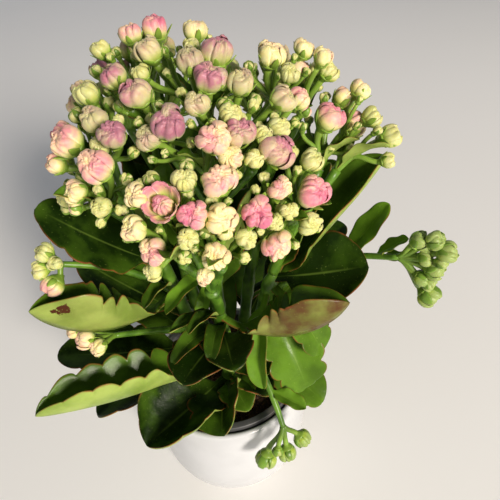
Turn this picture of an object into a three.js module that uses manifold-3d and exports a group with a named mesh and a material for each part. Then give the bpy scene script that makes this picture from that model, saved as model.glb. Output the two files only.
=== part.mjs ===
// A potted kalanchoe with plump double buds: a white cover pot, a dark nursery pot inside it, soil, six
// leafy stems and the flower head that each stem carries. Millimetres, +Z up, origin at the middle of the
// pot's foot. Directions round the plant are turns in degrees: 0 points at -Y, the front, and 90 at +X.
import * as THREE from 'three'
import { mergeVertices } from 'three/addons/utils/BufferGeometryUtils.js'
import Module from 'manifold-3d'

const wasm = await Module()
wasm.setup()

// ---- driving dimensions ----
const POT_RADIUS = 52.5
const POT_HEIGHT = 95
const POT_FOOT_RADIUS = 33
const POT_WALL = 3.6
const POT_FLOOR = 5
const POT_SIDES = 26
const TOUCH_GAP = 0.3 // between two pieces that rest on each other
const NURSERY_LIP_RADIUS = 47.8
const NURSERY_LIP_WIDTH = 4.4
const NURSERY_LIP_HEIGHT = 7
const NURSERY_LIP_ABOVE_POT = 1.6
const NURSERY_TOP_RADIUS = 44.4
const NURSERY_FOOT_RADIUS = 33.5
const NURSERY_WALL = 1.4
const NURSERY_SIDES = 20
const DRAIN_HOLES = 5
const DRAIN_HOLE_RADIUS = 4
const DRAIN_CIRCLE_RADIUS = 21
const SOIL_BELOW_LIP = 9.4 // at the pot's wall
const SOIL_SHOULDER = 1.4
const SOIL_DOME = 3.5
const SOIL_LUMPS = 0.9
const SOIL_SIDES = 20
const SOIL_TOP_RINGS = [0.8, 0.58, 0.3] // shares of the soil's radius
const STEM_RADIUS = 3.7
const STEM_SIDES = 6
const STEM_DEPTH_IN_SOIL = 26
const STEM_STRAIGHT = 7 // how far a stem stays straight above the soil, and below its top
const STEM_HOLE_GAP = 0.6
const STEM_HOLE_SIDES = 8
const STEM_CURVE = 1.3 // above 1, a stem leaves the soil upright and leans out further up
const LEAF_THICKNESS = 2.4
const LEAF_EDGE_THINNING = 0.35
const LEAF_STALK_SHARE = 0.14 // of the leaf's length
const LEAF_STALK_WIDTH = 5.4
const LEAF_STALK_SWELL = 1.25
const LEAF_OPENING = 4 // how fast the fold and cup set in above the stalk
const OUTLINE_FULLNESS = 2.3
const OUTLINE_ROUNDNESS = 0.56
const TOOTHED_FROM = 0.12 // of the blade
const SMOOTH_LEAF_WIDTH = 24 // leaves up to this width have no teeth
const TEETH_DEPTH = 0.13 // of the half width
const TEETH_PITCH = 20 // millimetres of leaf for each tooth
const CUPPED = 18 // degrees of cup from which a leaf needs four strips across instead of two
const DOME_CENTRE = new THREE.Vector3(0, 12, 232)
const SPRAY_FORK = 0.6 // of the way from a head's main fork to the middle of a spray's buds
const PEDUNCLE_RADIUS = 2.4
const PEDUNCLE_SIDES = 6
const SHOOT_RADIUS = 2
const WIDE_FORK_SPREAD = 3.2 // how far off its axis the branches leave a head's main fork with many branches
const FORK_SPREAD = 2.2
const SPRAY_SPREAD = 1.6
const STALK_ROOT = 1 // how deep a stalk starts inside what it grows from
const BRANCH_RADIUS = 1.6
const BRANCH_SIDES = 5
const BUD_STALK_RADIUS = 1.2
const SIDE_BUD_SHARE = 0.7 // of the width of the bud that it grows beside
const SIDE_BUD_LUCK = 0.1 // a side bud grows where its draw from -1 to 1 is above this
const ROOM_SHARE = 0.52 // of the widths of two buds that their centres stay apart
const SIDE_BUD_SPACING = 0.56 // of the widths of a bud and its side bud
const SIDE_BUD_DROP = 0.38 // how far a side bud lies lower, of the main bud's width
const SIDE_STALK_START = 0.3 // of the way along the stalk that it leaves
const MAIN_FORK = 0.3 // of the way from a stem's top to the middle of its head's buds

// Where each stem leaves the soil and where it ends.
const STEMS = {
  left: { foot: [-13, 3], top: [-28, 2, 190] },
  front: { foot: [2, -13], top: [3, -24, 174] },
  right: { foot: [15, 0], top: [33, -3, 180] },
  back_right: { foot: [11, 17], top: [25, 33, 178] },
  back_left: { foot: [-11, 17], top: [-24, 32, 178] },
  centre: { foot: [0, 2], top: [0, 5, 186] },
}

// The leaves of each stem: [height on the stem, turn, pitch, length, width, fold, cup, bend, roll], in
// millimetres and degrees. The fold is at the midrib, the cup spreads over the half blade, the bend runs
// along the leaf and the roll turns it about its midrib.
const LEAVES = {
  left: [
    [166, -57, 18, 88, 52, 50, 22, 44, 18],
    [186, -84, 40, 72, 38, 6, 8, 10, -16],
    [114, -82, 8, 88, 42, 14, 12, 8, 0],
    [144, -108, 26, 76, 40, 16, 12, 8, 0],
    [98, -64, -3, 76, 42, 16, 14, -8, 14],
    [120, -128, 14, 76, 42, 16, 14, 10, 0],
    [166, -132, 40, 76, 40, 22, 14, 8, 0],
  ],
  front: [
    [130, -67, 5, 108, 48, 48, 24, 14, 14],
    [104, -50, -6, 64, 62, 20, 50, 2, -4],
    [170, 73, 13, 77, 46, 50, 22, 44, -20],
    [101, -6, 2, 41, 44, 18, 30, -16, 30],
    [124, 60, 8, 30, 22, 14, 12, -16, 0],
    [150, -24, 20, 48, 34, 14, 10, -10, 0],
    [154, 10, 24, 42, 30, 16, 10, -16, 0],
  ],
  right: [
    [176, 76, 16, 54, 46, 8, 30, 10, 26],
    [160, 30, -44, 61, 37, 16, 10, -28, 14],
    [108, 54, -14, 56, 34, 12, 10, -20, 0],
    [168, 104, 48, 96, 36, 34, 14, 4, 0],
    [172, 126, 54, 74, 30, 30, 14, 2, 0],
    [140, 128, 24, 68, 40, 20, 14, 10, 0],
    [112, 106, 4, 54, 36, 16, 12, 8, 0],
    [128, 80, 14, 44, 32, 16, 12, 6, 0],
  ],
  back_right: [
    [162, 150, 40, 90, 40, 26, 12, 8, -6],
    [147, 176, 37, 70, 46, 18, 16, 6, 8],
    [138, 118, 14, 82, 40, 18, 12, 12, 0],
    [110, 156, 8, 68, 44, 14, 14, 10, 6],
    [119, 172, 10, 76, 36, 18, 10, 6, 0],
  ],
  back_left: [
    [170, -158, 50, 70, 42, 18, 17, 4, 12],
    [153, -172, 30, 84, 40, 24, 12, 10, -8],
    [134, -122, 20, 70, 44, 12, 16, 12, 6],
    [106, -150, 2, 80, 38, 18, 10, 6, -6],
    [127, -166, 22, 64, 40, 12, 14, 10, 8],
  ],
  centre: [
    [112, 178, 34, 56, 20, 14, 12, 4, 0],
    [150, 178, 50, 76, 40, 20, 12, 6, 0],
    [172, 140, 60, 56, 30, 26, 12, 6, 0],
    [174, -140, 60, 58, 30, 26, 12, 6, 0],
  ],
}

// The buds of each head, in sprays: [turn, tilt from upright, reach from the dome's centre, width].
const HEADS = {
  left: [
    [[-75, 39, 70, 10], [-53, 43, 69, 10], [-92, 44, 71, 8]],
    [[-63, 55, 71, 13], [-35, 45, 69, 10.5], [-80, 58, 70, 9]],
    [[-37, 56, 71, 12.5], [-48, 67, 70, 9], [-34, 69, 69, 8]],
    [[-84, 72, 68, 10], [-66, 78, 67, 8]],
  ],
  front: [
    [[-19, 62, 70, 9], [-9, 64, 71, 12.5], [-1, 57, 69, 8.5]],
    [[1, 67, 71, 10.5], [10, 69, 70, 11], [11, 58, 71, 12]],
    [[-20, 73, 70, 9.5], [-14, 80, 69, 10], [-2, 76, 67, 8]],
    [[6, 83, 68, 11], [18, 80, 66, 8]],
  ],
  right: [
    [[22, 70, 71, 11.5], [33, 66, 69, 9], [29, 77, 67, 7]],
    [[28, 85, 69, 12], [47, 73, 70, 13], [52, 63, 69, 9]],
    [[81, 60, 71, 12.5], [86, 69, 79, 12], [91, 60, 79, 10]],
    [[84, 67, 87, 9], [89, 60, 87, 8.5], [80, 73, 93, 10]],
  ],
  back_right: [
    [[89, 30, 71, 11], [104, 45, 71, 9.5], [102, 42, 79, 8.5]],
    [[97, 47, 82, 8.5], [100, 53, 80, 8.5], [112, 56, 78, 9]],
    [[128, 44, 72, 11], [140, 56, 72, 10], [122, 62, 74, 9]],
    [[150, 72, 70, 10.5], [132, 76, 72, 9], [166, 62, 71, 10]],
  ],
  back_left: [
    [[-103, 31, 76, 8], [-119, 22, 75, 9.5], [-140, 17, 74, 11.5]],
    [[-118, 44, 72, 10], [-136, 36, 72, 11], [-104, 56, 71, 9]],
    [[-160, 42, 72, 11], [176, 52, 71, 10], [-146, 56, 71, 10]],
    [[-124, 68, 70, 10.5], [-152, 74, 70, 9], [-176, 72, 69, 10]],
  ],
  centre: [
    [[158, 8, 71, 9.5], [-71, 13, 70, 11], [150, 40, 56, 10]],
    [[9, 16, 70, 11], [46, 15, 71, 12.5], [20, 24, 69, 11.5]],
    [[-63, 28, 70, 10], [-31, 30, 70, 11], [-8, 39, 69, 12]],
    [[8, 32, 67, 9], [40, 30, 70, 10], [56, 41, 70, 10]],
    [[-18, 43, 66, 9], [12, 45, 69, 12], [26, 38, 66, 8.5]],
    [[26, 45, 67, 11], [18, 52, 67, 8.5], [36, 48, 67, 7]],
    [[39, 55, 68, 13], [69, 45, 69, 9], [47, 48, 66, 8]],
  ],
}

// The small flower shoots that stand out from the foliage, still in green bud: the stem that bears them, the
// points of their stalk, the buds at its end as [x, y, z, width], and the small leaves on it, each with its
// root and the numbers of a leaf.
const SHOOTS = [
  {
    stem: 'right',
    stalk: [[29, -2, 162], [52, 4, 173], [75, -1, 186], [96, -18, 199]],
    buds: [
      [103, -22, 213, 9.5], [109, -26, 215, 9], [114, -30, 211, 9.5],
      [111, -29, 199, 10], [106, -28, 192, 9], [111, -30, 182, 11],
    ],
    leaves: [
      [[71, 1, 183], [0, 108, 48, 40, 17, 10, 12, 6, 0]],
      [[85, -8, 191], [0, 80, 40, 22, 10, 20, 10, 0, 0]],
      [[87, -10, 193], [0, 84, -4, 20, 9, 20, 10, 0, 0]],
    ],
  },
  {
    stem: 'front',
    stalk: [[3, -20, 148], [17, -26, 145], [24, -37, 133], [30, -50, 121], [33, -57, 112]],
    buds: [[22, -63, 88, 11], [35, -63, 94, 9.5], [44, -59, 101, 9], [29, -66, 101, 6]],
    leaves: [[[25.5, -42, 128], [0, 60, -10, 24, 11, 20, 10, 0, 0]]],
  },
  {
    stem: 'left',
    stalk: [[-25, 2, 166], [-44, -2, 186], [-60, -9, 199], [-74, -14, 206]],
    buds: [[-79, -16, 216, 9], [-83, -19, 208, 9], [-74, -20, 212, 7], [-79, -22, 198, 11]],
    leaves: [],
  },
  {
    stem: 'left',
    stalk: [[-20, 2, 132], [-42, -10, 146], [-58, -20, 156]],
    buds: [[-70, -30, 166, 10.5], [-63, -33, 163, 9], [-76, -26, 169, 7.5]],
    leaves: [],
  },
]

// ---- small helpers ----
const radians = THREE.MathUtils.degToRad

/** A number from -1 to 1 that is always the same for the same seed and index. */
function vary(seed, index) {
  const wave = Math.sin(seed * 127.1 + index * 311.7) * 43758.5453
  return 2 * (wave - Math.floor(wave)) - 1
}

function toSolid(geometry) {
  const bare = geometry.clone()
  bare.deleteAttribute('normal')
  bare.deleteAttribute('uv')
  const merged = mergeVertices(bare, 1e-4)
  return new wasm.Manifold(new wasm.Mesh({
    numProp: 3,
    vertProperties: new Float32Array(merged.attributes.position.array),
    triVerts: new Uint32Array(merged.index.array),
  }))
}

function toGeometry(solid) {
  const mesh = solid.getMesh()
  const geometry = new THREE.BufferGeometry()
  geometry.setAttribute('position', new THREE.BufferAttribute(mesh.vertProperties, 3))
  geometry.setIndex(new THREE.BufferAttribute(mesh.triVerts, 1))
  geometry.computeVertexNormals()
  return geometry
}

/** Joins overlapping closed shapes into one. */
function fuse(geometries) {
  return toGeometry(geometries.map(toSolid).reduce((whole, next) => whole.add(next)))
}

/** A closed shape from points and triangles. */
function shapeFrom(points, triangles) {
  const geometry = new THREE.BufferGeometry()
  geometry.setAttribute('position', new THREE.Float32BufferAttribute(points.flat(), 3))
  geometry.setIndex(triangles.flat())
  return geometry
}

/** The corners of a ring round a point and square to an axis, with the radius at each corner. */
function ringCorners(middle, axis, count, radiusAt, spin = 0) {
  const first = new THREE.Vector3(0, 1, 0).cross(axis).normalize().applyAxisAngle(axis, spin)
  const second = axis.clone().cross(first)
  return Array.from({ length: count }, (_, corner) => {
    const angle = (corner / count) * 2 * Math.PI
    const radius = radiusAt(corner)
    return middle.clone()
      .addScaledVector(first, radius * Math.cos(angle))
      .addScaledVector(second, radius * Math.sin(angle))
      .toArray()
  })
}

/** Triangles between two rings, each given by the number of its first corner. */
function band(low, high, count) {
  const triangles = []
  for (let corner = 0; corner < count; corner++) {
    const next = (corner + 1) % count
    triangles.push([low + corner, low + next, high + next], [low + corner, high + next, high + corner])
  }
  return triangles
}

/** Triangles that close the ring at the start of a shape. */
function startCap(count) {
  return Array.from({ length: count - 2 }, (_, corner) => [0, corner + 2, corner + 1])
}

/** A rod through joints, each given as { middle, axis, radius }. */
function jointedRod(joints, sides) {
  const points = joints.flatMap(({ middle, axis, radius }) => ringCorners(middle, axis, sides, () => radius))
  const triangles = startCap(sides)
  for (let joint = 1; joint < joints.length; joint++) {
    triangles.push(...band((joint - 1) * sides, joint * sides, sides))
  }
  const last = (joints.length - 1) * sides
  for (const [a, b, c] of startCap(sides)) triangles.push([last + a, last + c, last + b])
  return shapeFrom(points, triangles)
}

/** A rod of one width that bends from point to point. */
function bentRod(points, radius, sides) {
  const joints = points.map((middle, index) => {
    const before = points[Math.max(0, index - 1)]
    const after = points[Math.min(points.length - 1, index + 1)]
    return { middle, axis: after.clone().sub(before).normalize(), radius }
  })
  return jointedRod(joints, sides)
}

/** The direction with the given turn round the plant and tilt from upright. */
function direction(turn, tilt) {
  const across = Math.sin(radians(tilt))
  return new THREE.Vector3(
    across * Math.sin(radians(turn)),
    -across * Math.cos(radians(turn)),
    Math.cos(radians(tilt)),
  )
}

// ---- pots and soil ----
/** A pot turned from a closed profile of [radius, height] points. */
function turned(profile, segments) {
  const lathe = new THREE.LatheGeometry(profile.map(([r, z]) => new THREE.Vector2(r, z)), segments)
  return lathe.rotateX(Math.PI / 2)
}

function coverPot() {
  const inner = POT_RADIUS - POT_WALL
  const rimTop = POT_HEIGHT
  return turned([
    [0, 0],
    [POT_FOOT_RADIUS, 0],
    [POT_RADIUS * 0.795, 7],
    [POT_RADIUS * 0.893, 15],
    [POT_RADIUS * 0.966, 28],
    [POT_RADIUS, 52],
    [POT_RADIUS, rimTop - 1.4],
    [POT_RADIUS - 1, rimTop],
    [inner + 1, rimTop],
    [inner, rimTop - 1.4],
    [inner, 52],
    [inner * 0.96, 28],
    [inner * 0.87, 15],
    [inner * 0.72, POT_FLOOR],
    [0, POT_FLOOR],
  ], POT_SIDES)
}

const NURSERY_TOP = POT_HEIGHT + NURSERY_LIP_ABOVE_POT
const NURSERY_BOTTOM = POT_FLOOR + TOUCH_GAP

function nurseryPot() {
  const shell = toSolid(turned([
    [0, NURSERY_BOTTOM],
    [NURSERY_FOOT_RADIUS, NURSERY_BOTTOM],
    [NURSERY_TOP_RADIUS, NURSERY_TOP - NURSERY_LIP_HEIGHT],
    [NURSERY_LIP_RADIUS, NURSERY_TOP - NURSERY_LIP_HEIGHT],
    [NURSERY_LIP_RADIUS, NURSERY_TOP - 0.8],
    [NURSERY_LIP_RADIUS - 0.8, NURSERY_TOP],
    [NURSERY_LIP_RADIUS - NURSERY_LIP_WIDTH, NURSERY_TOP],
    [NURSERY_TOP_RADIUS - NURSERY_WALL, NURSERY_TOP - NURSERY_LIP_HEIGHT],
    [NURSERY_FOOT_RADIUS - NURSERY_WALL, NURSERY_BOTTOM + NURSERY_WALL],
    [0, NURSERY_BOTTOM + NURSERY_WALL],
  ], NURSERY_SIDES))
  let pot = shell
  for (let hole = 0; hole < DRAIN_HOLES; hole++) {
    const angle = (hole / DRAIN_HOLES) * 2 * Math.PI
    const drill = new THREE.CylinderGeometry(DRAIN_HOLE_RADIUS, DRAIN_HOLE_RADIUS, 4 * NURSERY_WALL, 8)
    drill.rotateX(Math.PI / 2)
    drill.translate(
      DRAIN_CIRCLE_RADIUS * Math.cos(angle),
      DRAIN_CIRCLE_RADIUS * Math.sin(angle),
      NURSERY_BOTTOM + NURSERY_WALL / 2,
    )
    pot = pot.subtract(toSolid(drill))
  }
  return toGeometry(pot)
}

const GROUND = NURSERY_TOP - SOIL_BELOW_LIP

/** Height of the soil's lumpy, slightly domed top at a place. */
function soilTop(x, y) {
  const edge = Math.hypot(x, y) / NURSERY_TOP_RADIUS
  const lumps = Math.sin(x * 0.42 + 1.3) * Math.cos(y * 0.37) + 0.6 * Math.sin(x * 0.19 - y * 0.61)
  return GROUND + SOIL_SHOULDER + SOIL_DOME * (1 - edge * edge) + SOIL_LUMPS * lumps
}

function soil() {
  const bottom = NURSERY_BOTTOM + NURSERY_WALL + TOUCH_GAP
  const wallHeight = NURSERY_TOP - NURSERY_LIP_HEIGHT - NURSERY_BOTTOM
  const slope = (NURSERY_TOP_RADIUS - NURSERY_FOOT_RADIUS) / wallHeight
  const radiusAt = (z) => NURSERY_FOOT_RADIUS - NURSERY_WALL - 2 * TOUCH_GAP + slope * (z - NURSERY_BOTTOM)
  const radius = radiusAt(GROUND)
  const top = SOIL_TOP_RINGS.map((share) => [radius * share, GROUND + 1])
  const outside = [[0, bottom], [radiusAt(bottom) - 1, bottom], [radius, GROUND]]
  const body = turned([...outside, ...top, [0, GROUND + 1]], SOIL_SIDES)
  const place = body.attributes.position
  for (let i = 0; i < place.count; i++) {
    if (place.getZ(i) > GROUND + 0.5) place.setZ(i, soilTop(place.getX(i), place.getY(i)))
  }
  const floor = GROUND - STEM_DEPTH_IN_SOIL - TOUCH_GAP
  const depth = 2 * STEM_DEPTH_IN_SOIL
  const radiusOfHole = STEM_RADIUS + STEM_HOLE_GAP
  let heap = toSolid(body)
  for (const { foot } of Object.values(STEMS)) {
    const hole = new THREE.CylinderGeometry(radiusOfHole, radiusOfHole, depth, STEM_HOLE_SIDES)
    hole.rotateX(Math.PI / 2)
    hole.translate(foot[0], foot[1], floor + depth / 2)
    heap = heap.subtract(toSolid(hole))
  }
  return toGeometry(heap)
}

// ---- leaves ----
/** Half width of a blade, as a share of its greatest, at a share of the way from its base to its tip. */
function bladeOutline(blade, notched) {
  const oval = (1 - Math.abs(2 * Math.min(blade, 0.985) - 1) ** OUTLINE_FULLNESS) ** OUTLINE_ROUNDNESS
  return oval * (notched && blade > TOOTHED_FROM && blade < 1 ? 1 - TEETH_DEPTH : 1)
}

/** Where a leaf's cross sections lie, in shares of its length: its base, its stalk's end and two a tooth. */
function leafSections(length) {
  const teeth = Math.max(3, Math.round(length * (1 - LEAF_STALK_SHARE) / TEETH_PITCH))
  const sections = [0, LEAF_STALK_SHARE]
  for (let step = 1; step <= 2 * teeth; step++) {
    sections.push(LEAF_STALK_SHARE + (1 - LEAF_STALK_SHARE) * (step / (2 * teeth)))
  }
  return sections
}

/** A thick leaf with scalloped edges, its base at the origin. It points along +X before it is turned. */
function leaf([, turn, pitch, length, width, fold, cup, bend, roll]) {
  const halfColumns = cup >= CUPPED ? 2 : 1
  const sections = leafSections(length)
  const points = []
  const cornerAt = []
  let spineX = 0
  let spineZ = 0
  sections.forEach((along, row) => {
    const gain = row === 0 ? 0 : (along - sections[row - 1]) * length
    const rise = radians(bend * (along - 0.5) * 2)
    spineX += gain * Math.cos(rise)
    spineZ += gain * Math.sin(rise)
    const onStalk = along <= LEAF_STALK_SHARE
    const blade = (along - LEAF_STALK_SHARE) / (1 - LEAF_STALK_SHARE)
    const share = onStalk ? 0 : bladeOutline(blade, width > SMOOTH_LEAF_WIDTH && row % 2 === 1)
    const half = Math.max(LEAF_STALK_WIDTH, share * width) / 2
    const open = onStalk ? 0 : Math.min(1, (along - LEAF_STALK_SHARE) * LEAF_OPENING)
    cornerAt.push([])
    for (let column = -halfColumns; column <= halfColumns; column++) {
      const across = Math.abs(column) / halfColumns
      const side = Math.sign(column)
      const start = radians(fold * open)
      const curl = radians(cup * open) * across
      const lean = start + curl / 2
      const lift = across * half * Math.sin(lean)
      const middle = new THREE.Vector3(
        spineX - Math.sin(rise) * lift,
        side * across * half * Math.cos(lean),
        spineZ + Math.cos(rise) * lift,
      )
      const outward = new THREE.Vector3(
        -Math.sin(rise),
        -side * Math.sin(start + curl) * Math.cos(rise),
        Math.cos(start + curl) * Math.cos(rise),
      ).normalize()
      const onEdge = row === 0 || row === sections.length - 1 || across === 1
      const swell = onStalk ? LEAF_STALK_SWELL : 1
      const thick = onEdge ? 0 : (LEAF_THICKNESS / 2) * swell * (1 - LEAF_EDGE_THINNING * across)
      const top = points.length
      points.push(middle.clone().addScaledVector(outward, thick).toArray())
      if (!onEdge) points.push(middle.clone().addScaledVector(outward, -thick).toArray())
      cornerAt[row].push([top, onEdge ? top : top + 1])
    }
  })
  const triangles = []
  for (let row = 1; row < sections.length; row++) {
    const [near, far] = [cornerAt[row - 1], cornerAt[row]]
    for (let column = 0; column < 2 * halfColumns; column++) {
      const corners = [near[column], far[column], far[column + 1], near[column + 1]]
      const split = column < halfColumns ? [[0, 1, 2], [0, 2, 3]] : [[1, 2, 3], [1, 3, 0]]
      for (const [a, b, c] of split) {
        triangles.push([corners[a][0], corners[b][0], corners[c][0]])
        triangles.push([corners[c][1], corners[b][1], corners[a][1]])
      }
    }
  }
  const shape = shapeFrom(points, triangles)
  shape.rotateX(radians(roll))
  shape.rotateY(radians(-pitch))
  shape.rotateZ(radians(turn - 90))
  return shape
}

/** A point on a stem at the given height above the pot's foot. */
function onStem({ foot, top }, height) {
  const share = THREE.MathUtils.clamp((height - GROUND) / (top[2] - GROUND), 0, 1)
  return new THREE.Vector3(
    THREE.MathUtils.lerp(foot[0], top[0], share ** STEM_CURVE),
    THREE.MathUtils.lerp(foot[1], top[1], share ** STEM_CURVE),
    height,
  )
}

/** The way a stem points at its top. */
function topDirection(stem) {
  return new THREE.Vector3(...stem.top).sub(onStem(stem, stem.top[2] - STEM_STRAIGHT)).normalize()
}

// ---- buds ----
// The sorts of bud: how wide they can be, how many lobes they show, and their rings from the base up, each
// as [share of the half width, height in half widths].
const BUD_SORTS = [
  { upTo: 9, lobes: 3, rings: [[0.9, 0.62], [0.88, 1.4]] },
  { upTo: 12, lobes: 4, rings: [[1, 0.7], [0.88, 1.48]] },
  { upTo: Infinity, lobes: 5, rings: [[0.66, 0.34], [1.04, 1], [0.8, 1.64]] },
]
const CROWN_HEIGHT = 1.68 // in half widths
const LOBE_DEPTH = 0.16 // of the half width

/** A plump double bud with lobed sides, in one with the straight stalk that carries it. */
function stalkedBud(start, centre, lean, width, spin) {
  const { lobes, rings } = BUD_SORTS.find((sort) => width <= sort.upTo)
  const corners = 2 * lobes
  const half = width / 2
  const base = centre.clone().addScaledVector(lean, -half)
  const stalkRing = (joint) => ringCorners(joint, lean, lobes, () => BUD_STALK_RADIUS, spin)
  const points = [...stalkRing(start), ...stalkRing(base)]
  for (const [share, height] of rings) {
    const middle = base.clone().addScaledVector(lean, height * half)
    const lobed = (corner) => half * share * (corner % 2 === 0 ? 1 : 1 - LOBE_DEPTH)
    points.push(...ringCorners(middle, lean, corners, lobed, spin))
  }
  points.push(base.clone().addScaledVector(lean, CROWN_HEIGHT * half).toArray())

  const triangles = [...startCap(lobes), ...band(0, lobes, lobes)]
  const neck = lobes
  const bud = 2 * lobes
  for (let lobe = 0; lobe < lobes; lobe++) {
    const next = (lobe + 1) % lobes
    const [left, valley, right] = [2 * lobe, 2 * lobe + 1, 2 * next].map((corner) => bud + corner)
    triangles.push([neck + lobe, valley, left])
    triangles.push([neck + lobe, neck + next, valley])
    triangles.push([neck + next, right, valley])
  }
  for (let level = 1; level < rings.length; level++) {
    triangles.push(...band(bud + (level - 1) * corners, bud + level * corners, corners))
  }
  const crown = bud + (rings.length - 1) * corners
  for (let corner = 0; corner < corners; corner++) {
    triangles.push([crown + corner, crown + (corner + 1) % corners, crown + corners])
  }
  return shapeFrom(points, triangles)
}

// Where the heads' own buds stand, and later their side buds too: a side bud only grows where there is room.
const budPlace = ([turn, tilt, reach]) => direction(turn, tilt).multiplyScalar(reach).add(DOME_CENTRE)
const placedBuds = Object.values(HEADS).flat(2).map((row) => ({ centre: budPlace(row), width: row[3] }))

function hasRoom(centre, width) {
  return placedBuds.every((other) => centre.distanceTo(other.centre) > ROOM_SHARE * (width + other.width))
}

/** Where each stalk starts inside the end that it grows from: to the side that it leans to itself. */
function stalkStarts(end, axis, targets, spread) {
  const sideways = targets.map((target) => target.clone().sub(end).projectOnPlane(axis))
  const widest = Math.max(...sideways.map((side) => side.length()))
  const root = end.clone().addScaledVector(axis, -STALK_ROOT)
  return sideways.map((side) => root.clone().addScaledVector(side, spread / widest))
}

// Which of a seed's numbers decides what.
const DRAW = { spin: 1, swing: 3, width: 5, drop: 8, sideSpin: 11, present: 20 }

/** A bud on its stalk, and up to two smaller buds beside it. */
function budGroup(start, centre, width, seed) {
  const outward = centre.clone().sub(DOME_CENTRE).normalize()
  const lean = centre.clone().sub(start).normalize().add(outward).normalize()
  const pieces = [stalkedBud(start, centre, lean, width, vary(seed, DRAW.spin))]
  const around = new THREE.Vector3(0, 0, 1).cross(lean).normalize()
  for (const side of [0, 1]) {
    if (vary(seed, DRAW.present + side) < SIDE_BUD_LUCK) continue
    const sideWidth = width * SIDE_BUD_SHARE * (1 + 0.12 * vary(seed, DRAW.width + side))
    const swing = (side + 0.5) * Math.PI + 0.7 * vary(seed, DRAW.swing)
    const offset = around.clone().applyAxisAngle(lean, swing)
    offset.multiplyScalar(SIDE_BUD_SPACING * (width + sideWidth))
    const drop = width * (0.14 * vary(seed, DRAW.drop + side) - SIDE_BUD_DROP)
    const sideCentre = centre.clone().add(offset).addScaledVector(lean, drop)
    if (!hasRoom(sideCentre, sideWidth)) continue
    placedBuds.push({ centre: sideCentre, width: sideWidth })
    const sideStart = start.clone().lerp(centre, SIDE_STALK_START)
    const rise = sideCentre.clone().sub(sideStart).normalize().add(lean).normalize()
    pieces.push(stalkedBud(sideStart, sideCentre, rise, sideWidth, vary(seed, DRAW.sideSpin + side)))
  }
  return pieces
}

// ---- the pieces that grew ----
/** A fleshy stem with its leaves and side shoots. */
function leafyStem(name) {
  const stem = STEMS[name]
  const top = new THREE.Vector3(...stem.top)
  const upright = [-STEM_DEPTH_IN_SOIL, STEM_STRAIGHT]
  const points = upright.map((rise) => new THREE.Vector3(...stem.foot, GROUND + rise))
  for (const share of [0.4, 0.7]) points.push(onStem(stem, THREE.MathUtils.lerp(GROUND, top.z, share)))
  points.push(top.clone().addScaledVector(topDirection(stem), -STEM_STRAIGHT), top)
  const pieces = [bentRod(points, STEM_RADIUS, STEM_SIDES)]
  for (const row of LEAVES[name]) pieces.push(leaf(row).translate(...onStem(stem, row[0])))
  for (const shoot of SHOOTS.filter((one) => one.stem === name)) pieces.push(...greenShoot(shoot))
  return fuse(pieces)
}

/** A side shoot whose buds are still green. */
function greenShoot({ stalk, buds, leaves }) {
  const points = stalk.map((point) => new THREE.Vector3(...point))
  const end = points[points.length - 1]
  const pieces = [bentRod(points, SHOOT_RADIUS, BRANCH_SIDES)]
  buds.forEach(([x, y, z, width], index) => {
    const centre = new THREE.Vector3(x, y, z)
    const lean = centre.clone().sub(end).normalize()
    const start = end.clone().addScaledVector(lean, -STALK_ROOT)
    pieces.push(stalkedBud(start, centre, lean, width, vary(90, index)))
  })
  for (const [root, row] of leaves) pieces.push(leaf(row).translate(...root))
  return pieces
}

/** The middle of a few buds. */
function middleOf(buds) {
  return buds.reduce((sum, bud) => sum.add(bud.centre), new THREE.Vector3()).divideScalar(buds.length)
}

/** A stalk that branches into sprays, each with its plump buds. */
function flowerHead(name, headNumber) {
  const stem = STEMS[name]
  const sprays = HEADS[name].map((spray) => spray.map((row) => ({ centre: budPlace(row), width: row[3] })))
  const up = topDirection(stem)
  const seat = new THREE.Vector3(...stem.top).addScaledVector(up, TOUCH_GAP)
  const reach = middleOf(sprays.flat()).sub(seat)
  const axis = reach.clone().normalize()
  const mainFork = seat.clone().addScaledVector(reach, MAIN_FORK)
  const spread = sprays.length > 4 ? WIDE_FORK_SPREAD : FORK_SPREAD
  const pieces = [jointedRod([
    { middle: seat, axis: up, radius: PEDUNCLE_RADIUS },
    { middle: mainFork, axis, radius: spread + BRANCH_RADIUS },
  ], PEDUNCLE_SIDES)]
  const branchStarts = stalkStarts(mainFork, axis, sprays.map(middleOf), spread)
  sprays.forEach((spray, sprayNumber) => {
    const branchStart = branchStarts[sprayNumber]
    const fork = mainFork.clone().lerp(middleOf(spray), SPRAY_FORK)
    const along = fork.clone().sub(branchStart).normalize()
    pieces.push(jointedRod([
      { middle: branchStart, axis: along, radius: BRANCH_RADIUS },
      { middle: fork, axis: along, radius: SPRAY_SPREAD + BUD_STALK_RADIUS },
    ], BRANCH_SIDES))
    const starts = stalkStarts(fork, along, spray.map((bud) => bud.centre), SPRAY_SPREAD)
    spray.forEach(({ centre, width }, index) => {
      pieces.push(...budGroup(starts[index], centre, width, headNumber * 100 + sprayNumber * 10 + index))
    })
  })
  return fuse(pieces)
}

// ---- the plant in its pots ----
const finish = (color, roughness) => new THREE.MeshStandardMaterial({ color, roughness, metalness: 0 })
const glaze = finish(0xf1f0ee, 0.15)
const potPlastic = finish(0x3a3b3d, 0.5)
const pottingMix = finish(0x3f2e21, 0.95)
const leafGreen = finish(0x4f7d2c, 0.35)
const budCream = finish(0xe9d3a4, 0.5)

const plant = new THREE.Group()

function addPiece(name, geometry, material) {
  const piece = new THREE.Mesh(geometry, material)
  piece.name = name
  plant.add(piece)
}

addPiece('cover_pot', coverPot(), glaze)
addPiece('nursery_pot', nurseryPot(), potPlastic)
addPiece('soil', soil(), pottingMix)
Object.keys(STEMS).forEach((name, number) => {
  addPiece(`leafy_stem_${name}`, leafyStem(name), leafGreen)
  addPiece(`flower_head_${name}`, flowerHead(name, number + 1), budCream)
})

export default plant
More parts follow.
